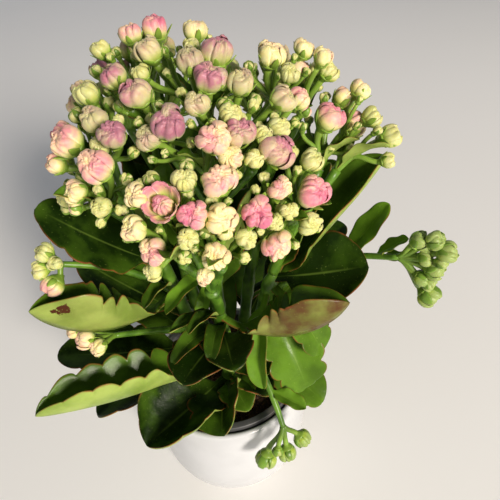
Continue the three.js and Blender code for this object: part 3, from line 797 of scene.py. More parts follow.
@dataclass(frozen=True)
class MouldedPolypropylene:
    """Injection-moulded grey polypropylene: a satin skin with the mould's fine grain and a little dust."""

    plastic: str = "#4b4c4e"
    dusty: str = "#6e6b66"
    roughness: float = 0.42
    dusty_roughness: float = 0.75
    ior: float = 1.49
    dust: Patches = Patches(14 * MM, 0.5, 0.78, 5, 0.65)
    grain: Grain = Grain(0.7 * MM, 0.03 * MM)  # coarser than the mould's own grain, so that it shows

    def build(self) -> Material:
        """Builds the material.

        Returns:
            The moulded plastic.
        """
        recipe = Recipe("moulded_grey_polypropylene")
        dust = recipe.patches(self.dust)
        colour = recipe.add("Mix", [dust, self.plastic, self.dusty], **COLOURS)
        rough = recipe.add("MapRange", [dust, 0, 1, self.roughness, self.dusty_roughness], **EASED)
        normal = recipe.grained(self.grain)
        return recipe.finish(Base_Color=colour, Roughness=rough, IOR=self.ior, Normal=normal)


@dataclass(frozen=True)
class PottingMix:
    """Damp peat and bark: dull, dark and crumbly, with paler fibres."""

    peat: str = "#2c1f16"
    bark: str = "#5b4028"
    fibre: str = "#86694a"
    roughness: float = 0.92
    ior: float = 1.4
    bark_crumbs: Patches = Patches(2.2 * MM, 0.42, 0.66, 6, 0.7)
    fibres: Patches = Patches(0.8 * MM, 0.62, 0.74, 3, 0.6)
    crumb: Grain = Grain(2.2 * MM, 0.5 * MM, 6, 0.7)

    def build(self) -> Material:
        """Builds the material.

        Returns:
            The potting mix.
        """
        recipe = Recipe("damp_potting_mix")
        colour = recipe.add("Mix", [recipe.patches(self.bark_crumbs), self.peat, self.bark], **COLOURS)
        colour = recipe.add("Mix", [recipe.patches(self.fibres), colour, self.fibre], **COLOURS)
        normal = recipe.grained(self.crumb)
        return recipe.finish(Base_Color=colour, Roughness=self.roughness, IOR=self.ior, Normal=normal)


@dataclass(frozen=True)
class StalkSkin:
    """The waxy skin of fleshy stems and stalks: fresh green with darker clouds, paler on a calyx."""

    fresh: str = "#648c2c"
    shaded: str = "#3c5f17"
    pale: str = "#95b048"
    roughness: float = 0.36
    ior: float = 1.42
    clouds: Patches = Patches(9 * MM, 0.35, 0.65, 3)
    pores: Grain = Grain(0.5 * MM, 0.02 * MM)
    glow: float = 0.12
    glow_colour: Point = (0.35, 1.0, 0.12)
    glow_depth: float = 1.2 * MM

    def build(self) -> Material:
        """Builds the material. The mask "ripe" turns the green pale.

        Returns:
            The skin of the stalks.
        """
        recipe = Recipe("waxy_stalk_skin")
        ripe = recipe.add("Attribute", attribute_name="ripe").outputs["Fac"]
        colour = recipe.add("Mix", [recipe.patches(self.clouds), self.shaded, self.fresh], **COLOURS)
        colour = recipe.add("Mix", [ripe, colour, self.pale], **COLOURS)
        normal = recipe.grained(self.pores)
        return recipe.finish(
            Base_Color=colour, Roughness=self.roughness, IOR=self.ior, Normal=normal,
            Subsurface_Weight=self.glow, Subsurface_Radius=self.glow_colour, Subsurface_Scale=self.glow_depth,
        )


@dataclass(frozen=True)
class LeafSkin:
    """The thick waxy skin of the leaves: deep glossy green above, yellow-green below, with red-brown rims."""

    deep: str = "#152706"
    bright: str = "#6c9628"
    under: str = "#768f3c"
    under_pale: str = "#9cb058"
    rib: str = "#7f9c40"
    rim: str = "#7c3f23"
    blush: str = "#543720"
    scar: str = "#43220f"
    ior: float = 1.45
    shine: float = 0.1
    coat: float = 0.06
    coat_roughness: float = 0.14
    glow: float = 0.08
    glow_colour: Point = (0.4, 1.0, 0.1)
    glow_depth: float = 1.0 * MM
    clouds: Patches = Patches(16 * MM, 0.3, 0.7, 4)
    cloud_light: float = 0.3
    blotches: Patches = Patches(12.8 * MM, 0.25, 0.7, 4, start=0.5, end=1.05)
    blush_reach: float = 0.6  # the share of the blade over which the blush grows to its full strength
    blush_at_foot: float = 0.6
    rib_width: float = 0.05
    rib_end: float = 0.5  # where along the blade the pale rib starts to fade
    rib_strength: float = 0.35
    worn_rim: Patches = Patches(8 * MM, 0.3, 0.62, 4, 0.6)
    rim_inside: float = 0.94
    rim_outside: float = 0.995
    rim_strength: float = 0.85
    flecks: Patches = Patches(1.1 * MM, 0.66, 0.76)
    fleck_strength: float = 0.25
    tear: float = 3 * MM
    tear_levels: tuple[float, float] = (0.99, 1.03)  # the narrow step that gives the scar its crisp edge
    tear_mask: float = 0.6
    polish: Patches = Patches(6.4 * MM, 0.3, 0.7, 4, start=0.3, end=0.44)  # gives the roughness
    cells: Grain = Grain(0.45 * MM, 0.02 * MM)  # coarser than the skin's own cells, so that they show
    dimples: Grain = Grain(7 * MM, 0.5 * MM, 3)

    def build(self) -> Material:
        """Builds the material from the leaves' masks.

        Returns:
            The skin of the leaves.
        """
        recipe = Recipe("waxy_leaf_skin")
        add = recipe.add
        along, across, upper, age, blush, scar = (
            add("Attribute", attribute_name=name).outputs["Fac"] for name in LEAF_MASKS[:6]
        )
        clouds = recipe.patches(self.clouds)
        # How bright the top is: the leaf's own clouds and tone, with painted light and shade from its look.
        young = add("Math", [add("Math", [clouds, self.cloud_light], **TIMES), age], **PLUS)
        above = add("Mix", [young, self.deep, self.bright], **COLOURS)
        below = add("Mix", [clouds, self.under, self.under_pale], **COLOURS)
        grown = add("MapRange", [along, 0, self.blush_reach, self.blush_at_foot, 1], **EASED)
        blotched = add("Math", [recipe.patches(self.blotches), grown], **TIMES)
        blushed = add("Math", [blush, blotched], **TIMES)
        below = add("Mix", [blushed, below, self.blush], **COLOURS)
        colour = add("Mix", [upper, below, above], **COLOURS)

        near = add("MapRange", [across, self.rib_width, 0], **EASED)
        rib = add("Math", [near, add("MapRange", [along, 1, self.rib_end], **EASED)], **TIMES)
        rib = add("Math", [rib, self.rib_strength], **TIMES)
        colour = add("Mix", [rib, colour, self.rib], **COLOURS)
        worn = add("Math", [recipe.patches(self.worn_rim), self.rim_strength], **TIMES)
        edge = add("MapRange", [across, self.rim_inside, self.rim_outside], **EASED)
        colour = add("Mix", [add("Math", [edge, worn], **TIMES), colour, self.rim], **COLOURS)
        flecks = add("Math", [recipe.patches(self.flecks), self.fleck_strength], **TIMES)
        colour = add("Mix", [flecks, colour, self.under_pale], **COLOURS)
        ragged = add("TexNoise", [recipe.place, 1 / self.tear, 4, 0.6])
        torn = add("Math", [add("Math", [scar, self.tear_mask], **TIMES), ragged], **PLUS)
        torn = add("MapRange", [torn, *self.tear_levels], **EASED)
        colour = add("Mix", [torn, colour, self.scar], **COLOURS)

        normal = recipe.grained(self.dimples, recipe.grained(self.cells))
        return recipe.finish(
            Base_Color=colour, Roughness=recipe.patches(self.polish), IOR=self.ior, Normal=normal,
            Specular_IOR_Level=self.shine, Coat_Weight=self.coat, Coat_Roughness=self.coat_roughness,
            Subsurface_Weight=self.glow, Subsurface_Radius=self.glow_colour, Subsurface_Scale=self.glow_depth,
        )


@dataclass(frozen=True)
class PetalFlesh:
    """Living petal: satin and slightly translucent, green-yellow below, cream above and flushed pink on top.

    The pairs are the levels of a mask, or of the flush, between which a colour sets in.
    """

    base: str = "#a2b944"
    cream: str = "#e9da90"
    pale: str = "#f3e8b2"
    # Painted shade: the grey-green that a bud turns to as if it lay in shadow.
    shade: str = "#8f9370"
    peach: str = "#e6bba2"
    pink: str = "#d98a96"
    magenta: str = "#c4617f"
    # Painted shade over the pink and magenta flushes.
    painted_shade_pink: str = "#8d6675"
    green: str = "#82a340"
    crease: str = "#9c5c4c"
    roughness: float = 0.45
    ior: float = 1.4
    glow: float = 0.2
    glow_colour: Point = (1.0, 0.6, 0.35)
    glow_depth: float = 1.2 * MM
    sheen: float = 0.08
    sheen_roughness: float = 0.5
    clouds: Patches = Patches(3.2 * MM, 0.3, 0.7, 3)
    green_strength: float = 0.9
    shade_strength: float = 0.8
    flush_swing: tuple[float, float] = (0.7, 1.2)
    warm_levels: tuple[float, float] = (0.04, 0.38)
    rosy_levels: tuple[float, float] = (0.26, 0.72)
    deep_levels: tuple[float, float] = (0.78, 1.1)
    deep_strength: float = 0.8
    base_levels: tuple[float, float] = (0.58, 0.1)
    crease_levels: tuple[float, float] = (0.3, 1.0)
    # Painted shade: how dark every crease is before the brown specks add to it.
    painted_crease_shade: float = 0.3
    spots: Patches = Patches(0.7 * MM, 0.5, 0.72)
    spot_strength: float = 0.45
    streaks: Grain = Grain(0.9 * MM, 0.06 * MM, 3)

    def build(self) -> Material:
        """Builds the material from the buds' masks.

        Returns:
            The flesh of the petals.
        """
        recipe = Recipe("satin_petal")
        add = recipe.add
        rise, crease, pink, unripe, dusk = (
            add("Attribute", attribute_name=name).outputs["Fac"] for name in BUD_MASKS
        )
        clouds = recipe.patches(self.clouds)
        colour = add("Mix", [clouds, self.cream, self.pale], **COLOURS)
        greened = add("Math", [unripe, self.green_strength], **TIMES)
        colour = add("Mix", [greened, colour, self.green], **COLOURS)
        # Painted shade: the mask greys the bud as if it lay in shadow, and the loop below turns its flushes
        # mauve there.
        painted_shade_share = add("Math", [dusk, self.shade_strength], **TIMES)
        colour = add("Mix", [painted_shade_share, colour, self.shade], **COLOURS)
        swing = add("MapRange", [clouds, 0, 1, *self.flush_swing], **EASED)
        flush = add("Math", [pink, swing], **TIMES)
        for levels, most, light, dusky in (
            (self.warm_levels, 1, self.peach, self.shade),
            (self.rosy_levels, 1, self.pink, self.painted_shade_pink),
            (self.deep_levels, self.deep_strength, self.magenta, self.painted_shade_pink),
        ):
            tint = add("Mix", [dusk, light, dusky], **COLOURS)
            share = add("MapRange", [flush, *levels, 0, most], **EASED)
            colour = add("Mix", [share, colour, tint], **COLOURS)
        low = add("MapRange", [rise, *self.base_levels], **EASED)
        colour = add("Mix", [low, colour, self.base], **COLOURS)
        # Creases darken to brown: a steady painted shade in each crease, with brown specks over it.
        spots = add("Math", [recipe.patches(self.spots), self.spot_strength], **TIMES)
        crease_shade_and_specks = add("Math", [spots, self.painted_crease_shade], **PLUS)
        deep = add("MapRange", [crease, *self.crease_levels], **EASED)
        creased = add("Math", [deep, crease_shade_and_specks], **TIMES)
        colour = add("Mix", [creased, colour, self.crease], **COLOURS)
        return recipe.finish(
            Base_Color=colour, Roughness=self.roughness, IOR=self.ior, Normal=recipe.grained(self.streaks),
            Subsurface_Weight=self.glow, Subsurface_Radius=self.glow_colour, Subsurface_Scale=self.glow_depth,
            Sheen_Weight=self.sheen, Sheen_Roughness=self.sheen_roughness,
        )


@dataclass(frozen=True)
class PlantSkins:
    """The finishes of the living parts."""

    stalk: Material
    leaf: Material
    petal: Material


@dataclass(frozen=True)
class StudioPaper:
    """Seamless matt paper: the pale floor, with a tint too faint to draw attention."""

    paper: str = "#f6f5f3"
    shade: str = "#f1f0ed"
    cloud: float = 400 * MM
    roughness: float = 0.85
    ior: float = 1.45

    def build(self) -> Material:
        """Builds the material.

        Returns:
            The paper.
        """
        recipe = Recipe("seamless_matt_paper")
        clouds = recipe.add("TexNoise", [recipe.place, 1 / self.cloud])
        colour = recipe.add("Mix", [clouds, self.paper, self.shade], **COLOURS)
        return recipe.finish(Base_Color=colour, Roughness=self.roughness, IOR=self.ior)


# ---- pots and soil ----
def turned(profile: Sequence[tuple[float, float]], segments: int) -> Array:
    """Turns a profile of (radius, height) points round the upright axis.

    Args:
        profile: the outline from the axis to the axis, running so that the solid lies on its left.
        segments: how many points go round.

    Returns:
        The rings, as a loft takes them.
    """
    angles = np.linspace(0, 2 * math.pi, segments, endpoint=False)
    return np.array([
        np.stack([r * np.cos(angles), r * np.sin(angles), np.full(segments, z)], -1) for r, z in profile
    ])


def rounded(points: list[tuple[float, float]], steps: int) -> list[tuple[float, float]]:
    """Runs a smooth outline through a few (radius, height) points."""
    return [tuple(point) for point in curve_through([np.array(point) for point in points], steps)]


def drill(piece: Object, holes: list[tuple[float, float, float, float]], radius: float) -> None:
    """Bores plain upright holes.

    Args:
        piece: the object that is bored.
        holes: each hole's middle as (x, y) and its lowest and highest point.
        radius: the holes' radius.
    """
    bits = Draft()
    for x, y, low, high in holes:
        path = np.array([[x, y, low], [x, y, high]])
        bits.loft(sweep(path, radius, BIT_SIDES))
    cutter = bits.build(piece.name + "_bits", [])
    cut = piece.modifiers.new("holes", "BOOLEAN")
    cut.operation = "DIFFERENCE"
    cut.solver = "EXACT"
    cut.object = cutter
    bored = bpy.data.meshes.new_from_object(piece.evaluated_get(bpy.context.evaluated_depsgraph_get()))
    piece.modifiers.clear()
    piece.data = bored
    bpy.data.objects.remove(cutter)


@dataclass
class CoverPot:
    """The white cover pot: a short bowl-bottomed cylinder with a rounded rim and a low foot ring.

    The bowl and the inside are points as (share of the radius there, height), from the foot up.
    """

    radius: float = 0.0525
    height: float = POT_HEIGHT
    foot_radius: float = 0.033
    foot_ring: float = 0.004
    foot_recess: float = 0.0012
    foot_rounding: float = 0.001
    wall: float = 0.0036
    floor: float = POT_FLOOR
    straight_from: float = 0.052
    bowl: tuple[tuple[float, float], ...] = ((0.795, 0.007), (0.893, 0.015), (0.966, 0.028))
    inside: tuple[tuple[float, float], ...] = ((0.72, POT_FLOOR), (0.87, 0.015), (0.96, 0.028))
    segments: int = 144
    steps: int = 6
    rim_points: int = 9

    def profile(self) -> list[tuple[float, float]]:
        """Draws the pot's outline.

        Returns:
            Its points as (radius, height), from the middle of its underside to the middle of its inside.
        """
        lip, half = self.height - self.wall, self.wall / 2
        inner, middle = self.radius - self.wall, self.radius - self.wall / 2
        bowl = [(self.radius * share, z) for share, z in self.bowl]
        inside = [(inner * share, z) for share, z in reversed(self.inside)]
        turns = np.linspace(0, math.pi, self.rim_points)
        rim = [(middle + half * math.cos(turn), self.height - half * (1 - math.sin(turn))) for turn in turns]
        outside = [(self.foot_radius, 0.0), *bowl, (self.radius, self.straight_from), (self.radius, lip)]
        recess = self.foot_radius - self.foot_ring
        return [
            (AXIS_GAP, self.foot_recess),
            (recess - self.foot_rounding, self.foot_recess),
            (recess, 0.2 * self.foot_rounding),
            (recess + 0.8 * self.foot_rounding, 0.0),
            *rounded(outside, self.steps),
            *rim,
            *rounded([(inner, lip), (inner, self.straight_from), *inside], self.steps),
            (AXIS_GAP, self.floor),
        ]

    def build(self, glaze: Material) -> Object:
        """Builds the pot and puts it in the frame.

        Args:
            glaze: the finish.

        Returns:
            The pot.
        """
        draft = Draft()
        draft.loft(turned(self.profile(), self.segments))
        return seat(draft.build("round_cover_pot", [glaze]), "pot_glaze", "cover_pot")


@dataclass
class NurseryPot:
    """The thin grey pot inside: tapered, with a rolled lip and drainage holes."""

    lip_radius: float = 0.0478
    lip_width: float = 0.0044
    lip_height: float = 0.007
    lip_rounding: float = 0.0008
    lip_edge: float = 0.0003
    neck_rounding: float = 0.0004
    inside_step: float = 0.001  # how far below the lip the inside of the wall starts
    top_radius: float = 0.0444
    foot_radius: float = 0.0335
    foot_rounding: float = 0.001
    wall: float = 0.0014
    top: float = NURSERY_TOP
    bottom: float = POT_FLOOR + TOUCH_GAP
    drain_holes: int = 5
    drain_radius: float = 0.004
    drain_circle: float = 0.021
    segments: int = 120
    lip_points: int = 5

    @property
    def neck(self) -> float:
        """The height at which the lip starts."""
        return self.top - self.lip_height

    def radius_at(self, z: float) -> float:
        """Gives the radius of the outside of the tapered wall at a height."""
        slope = (self.top_radius - self.foot_radius) / (self.neck - self.bottom)
        return self.foot_radius + slope * (z - self.bottom)

    def profile(self) -> list[tuple[float, float]]:
        """Draws the pot's outline.

        Returns:
            Its points as (radius, height), from the middle of its underside to the middle of its inside.
        """
        neck, soft, edge = self.neck, self.lip_rounding, self.lip_edge
        inner = self.lip_radius - self.lip_width
        turns = np.linspace(0, math.pi / 2, self.lip_points)
        outer_edge = [(self.lip_radius - soft * (1 - math.cos(turn)), self.top - soft * (1 - math.sin(turn)))
                      for turn in turns]
        inner_edge = [(inner + soft * (1 - math.sin(turn)), self.top - soft * (1 - math.cos(turn)))
                      for turn in turns]
        return [
            (AXIS_GAP, self.bottom),
            (self.foot_radius - self.foot_rounding, self.bottom),
            (self.foot_radius, self.bottom + self.foot_rounding),
            (self.top_radius - self.neck_rounding, neck - self.neck_rounding),
            (self.top_radius, neck),
            (self.lip_radius - edge, neck),
            (self.lip_radius, neck + edge),
            *outer_edge,
            *inner_edge,
            (self.top_radius - self.wall, neck - self.inside_step),
            (self.foot_radius - self.wall, self.bottom + self.wall),
            (AXIS_GAP, self.bottom + self.wall),
        ]

    def build(self, plastic: Material) -> Object:
        """Builds the pot, bores its drainage holes and puts it in the frame.

        Args:
            plastic: the finish.

        Returns:
            The pot.
        """
        draft = Draft()
        draft.loft(turned(self.profile(), self.segments))
        pot = draft.build("thin_nursery_pot", [plastic])
        holes = []
        for number in range(self.drain_holes):
            angle = 2 * math.pi * number / self.drain_holes
            x, y = self.drain_circle * math.cos(angle), self.drain_circle * math.sin(angle)
            holes.append((x, y, 0.0, self.bottom + 4 * self.wall))
        drill(pot, holes, self.drain_radius)
        return seat(pot, "nursery_plastic", "nursery_pot")


@dataclass
class SoilHeap:
    """The potting mix in a pot: slightly domed, lumpy, strewn with crumbs, with a hole for each stem."""

    pot: NurseryPot
    stems: dict[str, StemPlan]
    shoulder: float = 0.0014
    dome: float = 0.0035
    lumps: float = 0.0009
    rounding: float = 0.001
    wall_from: float = 0.01
    wall_rows: int = 6
    top_shares: tuple[float, float] = (0.985, 0.01)
    crumbs: int = 420
    crumb_size: float = 0.0011
    crumb_widths: tuple[float, ...] = (0.25, 0.85, 1.0, 0.75, 0.2)
    crumb_sides: int = 6
    strewn_share: float = 0.95
    hole_radius: float = STEM_RADIUS + STEM_HOLE_GAP
    hole_margin: float = 0.0062
    bit_clearance: float = 0.02
    segments: int = 96
    rings: int = 30

    def height(self, x: Array, y: Array) -> Array:
        """Works out how high the lumpy top lies.

        Args:
            x: places to the right of the pot's middle.
            y: places behind it.

        Returns:
            The height at each place.
        """
        across, back = x / MM, y / MM
        edge = np.hypot(x, y) / self.pot.top_radius
        lumps = np.sin(across * 0.42 + 1.3) * np.cos(back * 0.37) + 0.6 * np.sin(across * 0.19 - back * 0.61)
        fine = 0.25 * np.sin(across * 1.7 + back * 0.9) * np.sin(back * 1.9 - across * 0.7)
        return GROUND + self.shoulder + self.dome * (1 - edge**2) + self.lumps * (lumps + fine)

    def radius_at(self, z: float) -> float:
        """Gives the radius just inside the pot's wall at a height."""
        return self.pot.radius_at(z) - self.pot.wall - 2 * TOUCH_GAP

    def build(self, mix: Material) -> Object:
        """Builds the heap with its crumbs, bores the stems' holes and puts it in the frame.

        Args:
            mix: the finish.

        Returns:
            The heap.
        """
        low, soft = self.pot.bottom + self.pot.wall + TOUCH_GAP, self.rounding
        radius = self.radius_at(GROUND)
        profile = [(AXIS_GAP, low), (self.radius_at(low) - soft, low), (self.radius_at(low), low + soft)]
        profile += [(self.radius_at(z), z) for z in np.linspace(low + self.wall_from, GROUND, self.wall_rows)]
        profile += [(radius * share, GROUND + soft) for share in np.linspace(*self.top_shares, self.rings)]
        rings = turned(profile, self.segments)
        top = rings[-self.rings:]
        top[:, :, 2] = self.height(top[:, :, 0], top[:, :, 1])
        draft = Draft()
        draft.loft(rings)
        heap = draft.build("potting_mix_heap", [mix])
        floor, clear = GROUND - STEM_DEPTH_IN_SOIL - TOUCH_GAP, GROUND + self.bit_clearance
        drill(heap, [(*plan.foot, floor, clear) for plan in self.stems.values()], self.hole_radius)
        self.strew(heap, mix, radius * self.strewn_share)
        return seat(heap, "potting_mix", "soil")

    def strew(self, heap: Object, mix: Material, radius: float) -> None:
        """Strews crumbs of peat and bark over the heap, clear of the stems' holes, and joins them to it.

        Args:
            heap: the bored heap.
            mix: the finish.
            radius: how far out the crumbs lie.
        """
        draft = Draft()
        feet = [plan.foot for plan in self.stems.values()]
        for number in range(self.crumbs):
            turn = math.pi * vary(number, 1)
            reach = radius * math.sqrt((vary(number, 2) + 1) / 2)
            x, y = reach * math.cos(turn), reach * math.sin(turn)
            if min(math.hypot(x - foot_x, y - foot_y) for foot_x, foot_y in feet) < self.hole_margin:
                continue
            size = self.crumb_size * (1 + 0.6 * vary(number, 3))
            middle = np.array([x, y, float(self.height(np.array(x), np.array(y))) + size * 0.2])
            axis = direction(180 * vary(number, 4), 90 + 40 * vary(number, 5))
            ends = size * (1.2 + 0.5 * vary(number, 6))
            path = middle + np.outer(np.linspace(-1, 1, len(self.crumb_widths)), axis * ends)
            widths = size * np.array(self.crumb_widths) * (1 + 0.2 * vary(number, 7))
            draft.loft(sweep(path, widths, self.crumb_sides))
        crumbs = draft.build("crumbs", [mix])
        with bpy.context.temp_override(active_object=heap, selected_editable_objects=[heap, crumbs]):
            bpy.ops.object.join()


# ---- leaves and stems ----
STALK_FINISH, LEAF_FINISH = 0, 1
ROOTED = 0.001  # how deep a bud's stalk starts inside the one that bears it
SHORT_STALK_POINTS = 9


@dataclass(frozen=True)
class BladeGrid:
    """A leaf's rows, as shares of its length and places along its blade, and the columns round its section.

    Places along the blade run from 0 at its foot to 1 at its tip, and are below 0 on the stalk. Those across
    it run from -1 to 1, and `face` is 1 on the top and -1 below. `opened` is how far the fold and the cup
    have set in.
    """

    share: Array
    blade: Array
    across: Array
    face: Array
    opened: Array


@dataclass
class LeafBlade:
    """How a plan becomes a thick blade with a rounded rim and crenate edges, on a short fleshy stalk."""

    thickness: float = 0.0024
    edge_thinning: float = 0.35
    stalk_share: float = 0.14
    stalk_width: float = 0.0054
    stalk_swell: float = 1.3
    swell_reach: float = 0.125
    opening: float = 4.0  # how fast the fold and the cup set in past the stalk
    fullness: float = 2.3  # powers of the blade's oval outline
    roundness: float = 0.56
    foot_narrowing: float = 0.55
    foot_reach: float = 0.2
    stalk_end: float = 0.9
    solid_tooth: float = 0.02
    tooth_growth: float = 0.8  # the power by which the teeth get longer towards the tip
    tooth_power: float = 0.6
    tooth_fade: float = 0.12
    whole_part: float = 0.5
    smooth_width: float = 0.024  # a leaf that is narrower has no teeth, and thins with its width
    crease_width: float = 0.07
    rib_depth: float = 0.00035
    rib_width: float = 0.05
    rib_ridge: float = 1.4  # how much further the rib stands out below than it dents the top
    edge_wave: float = 0.0007
    waves: float = 2.3
    rim_powers: tuple[float, float] = (24, 8)  # the higher, the blunter the tip and the sides are rounded
    scar_middle: tuple[float, float] = (0.84, 0.62)
    scar_size: tuple[float, float] = (0.08, 0.22)
    scar_core: float = 1.6  # the more, the larger the part of the scar that is dead all through
    least_rows: int = 30
    rows_a_metre: int = 1000
    stalk_rows: int = 5
    crowding: float = 0.4  # how much closer the rows lie at the blade's foot and tip
    top_columns: int = 17
    under_columns: int = 15

    def grid(self, plan: LeafPlan) -> BladeGrid:
        """Spaces the rows along a leaf and the columns round its section, over the top and back below.

        Args:
            plan: the leaf's plan.

        Returns:
            Its rows and columns.
        """
        even = np.linspace(0, 1, self.least_rows + int(plan.length * self.rows_a_metre))
        crowded = (1 - np.cos(math.pi * even)) / 2
        blade = (1 - self.crowding) * even + self.crowding * crowded
        stalk = np.linspace(0, self.stalk_share, self.stalk_rows, endpoint=False)
        share = np.concatenate([stalk, self.stalk_share + (1 - self.stalk_share) * blade])[:, None]
        top = np.sin(math.pi / 2 * np.linspace(1, -1, self.top_columns))
        under = np.sin(math.pi / 2 * np.linspace(-1, 1, self.under_columns + 2))[1:-1]
        face = np.concatenate([np.ones(self.top_columns), -np.ones(self.under_columns)])
        return BladeGrid(
            share=share, blade=(share - self.stalk_share) / (1 - self.stalk_share),
            across=np.concatenate([top, under])[None, :], face=face[None, :],
            opened=np.clip((share - self.stalk_share) * self.opening, 0, 1),
        )

    def spine(self, plan: LeafPlan, along: Array) -> Array:
        """Bends the midrib as the solid's, and runs it smoothly.

        Args:
            plan: the leaf's plan.
            along: shares of the leaf's length.

        Returns:
            For each share, how far the midrib has run ahead and risen.
        """
        teeth = max(3, round(plan.length * (1 - self.stalk_share) / self.solid_tooth))
        steps = np.arange(1, 2 * teeth + 1) / (2 * teeth)
        knots = np.concatenate([[0.0, self.stalk_share], self.stalk_share + (1 - self.stalk_share) * steps])
        rise = np.radians(plan.bend * (knots - 0.5) * 2)
        gains = np.diff(knots, prepend=0.0) * plan.length
        points = np.stack([np.cumsum(gains * np.cos(rise)), np.cumsum(gains * np.sin(rise))], -1)
        return smooth_through(along, knots, points)

    def half_width(self, plan: LeafPlan, look: LeafLook, grid: BladeGrid, seed: float) -> Array:
        """Works out the half width with its rounded teeth, which are only cut into the outer part.

        Args:
            plan: the leaf's plan.
            look: where its teeth are and how long they are.
            grid: its rows and columns.
            seed: what sets the teeth of the two sides apart.

        Returns:
            The half width for each row and column.
        """
        inside, side = np.clip(grid.blade, 0, 1), np.sign(grid.across)
        oval = np.maximum(1 - np.abs(2 * inside - 1) ** self.fullness, 0) ** self.roundness
        oval = oval * (1 - self.foot_narrowing * (1 - ease(inside / self.foot_reach)))
        count = max(4, round(plan.length * (1 - self.stalk_share) / look.tooth))
        shift = 0.35 + 0.3 * vary(seed, 1) + 0.22 * side * vary(seed, 2)
        place = count * inside**self.tooth_growth + shift
        lobe = np.abs(np.sin(math.pi * place)) ** self.tooth_power
        first, last = look.toothed
        depth = look.depth * (1 + 0.35 * np.sin(5 * place + side)) * ease((inside - first) / self.tooth_fade)
        depth = depth * ease((last + 0.1 - inside) / self.tooth_fade)
        if plan.width <= self.smooth_width:
            depth = depth * 0
        cut = ease((np.abs(grid.across) - self.whole_part) / (1 - self.whole_part))
        widths = oval * plan.width / 2 * (1 - depth * (1 - lobe) * cut)
        stalk = self.stalk_width / 2 * min(1.0, plan.width / self.smooth_width)
        return np.maximum(widths, stalk * (1 - ease((inside - self.stalk_end) / (1 - self.stalk_end))))

    def sheet(
        self, plan: LeafPlan, look: LeafLook, grid: BladeGrid, seed: float
    ) -> tuple[Array, Array]:
        """Lays the folded, cupped and bent sheet that runs through the middle of a leaf.

        Args:
            plan: the leaf's plan.
            look: its teeth.
            grid: its rows and columns.
            seed: what sets it apart from the other leaves.

        Returns:
            The sheet's points, and the directions square to it.
        """
        across, opened = grid.across, grid.opened
        reach = np.sqrt(across**2 + self.crease_width**2) - self.crease_width
        reach = reach / (math.sqrt(1 + self.crease_width**2) - self.crease_width)
        half = self.half_width(plan, look, grid, seed)
        start = np.radians(plan.fold) * opened
        curl = np.radians(plan.cup) * opened * reach
        lean = start + curl / 2
        wave = np.sin(2 * math.pi * (self.waves * grid.blade + 0.5 * vary(seed, 3)) + 1.4 * np.sign(across))
        lift = reach * half * np.sin(lean) + self.edge_wave * wave * across**2 * opened
        rise = np.radians(plan.bend * (grid.share - 0.5) * 2)
        run = self.spine(plan, grid.share[:, 0])
        points = np.stack([
            run[:, :1] - np.sin(rise) * lift,
            across * half * np.cos(lean),
            run[:, 1:] + np.cos(rise) * lift,
        ], -1)
        tilt = across / np.sqrt(across**2 + self.crease_width**2)
        outward = np.stack(np.broadcast_arrays(
            -np.sin(rise),
            -tilt * np.sin(start + curl) * np.cos(rise),
            np.cos(start + curl) * np.cos(rise),
        ), -1)
        return points, outward / np.linalg.norm(outward, axis=-1, keepdims=True)

    def half_thickness(self, plan: LeafPlan, grid: BladeGrid) -> Array:
        """Works out how far the skin lies from the sheet, with the rounded rim and the midrib.

        Args:
            plan: the leaf's plan.
            grid: its rows and columns.

        Returns:
            The distance for each row and column.
        """
        inside, out = np.clip(grid.blade, 0, 1), np.abs(grid.across)
        tip_power, side_power = self.rim_powers
        swell = 1 + (self.stalk_swell - 1) * ease(1 - grid.blade / self.swell_reach)
        ends = np.sqrt(np.clip(1 - inside**tip_power, 0, 1))
        thick = self.thickness / 2 * swell * (1 - self.edge_thinning * out) * ends
        thick = thick * np.sqrt(np.clip(1 - out**side_power, 0, 1))
        thick = thick * min(1.0, plan.width / self.smooth_width)
        rib = np.exp(-((out / self.rib_width) ** 2)) * grid.opened * (1 - inside)
        return thick + np.where(grid.face > 0, -1.0, self.rib_ridge) * self.rib_depth * rib

    def add(self, draft: Draft, plan: LeafPlan, root: Array, seed: float, look: LeafLook) -> None:
        """Adds a leaf to a mesh.

        Args:
            draft: the mesh in the making.
            plan: the leaf's plan.
            root: where its stalk starts.
            seed: what sets it apart from the other leaves.
            look: its skin and its teeth.
        """
        grid = self.grid(plan)
        blade, across, face = grid.blade, grid.across, grid.face
        points, outward = self.sheet(plan, look, grid, seed)
        offset = face * self.half_thickness(plan, grid)
        turns = (Matrix.Rotation(math.radians(plan.turn - 90), 3, "Z")
                 @ Matrix.Rotation(math.radians(-plan.pitch), 3, "Y")
                 @ Matrix.Rotation(math.radians(plan.roll), 3, "X"))
        rings = (points + outward * offset[..., None]) @ np.array(turns).T + root
        (scar_along, scar_across), (length, breadth) = self.scar_middle, self.scar_size
        scar = np.exp(-(((blade - scar_along) / length) ** 2) - ((across - scar_across) / breadth) ** 2)
        scar = np.clip(self.scar_core * scar * (face < 0) * look.scar, 0, 1)
        # The brightness mask carries the leaf's own tone and painted light and shade.
        draft.loft(
            rings, LEAF_FINISH, along=np.clip(blade, 0, 1), across=np.abs(across), upper=(face + 1) / 2,
            age=look.age, blush=look.blush, scar=scar,
        )


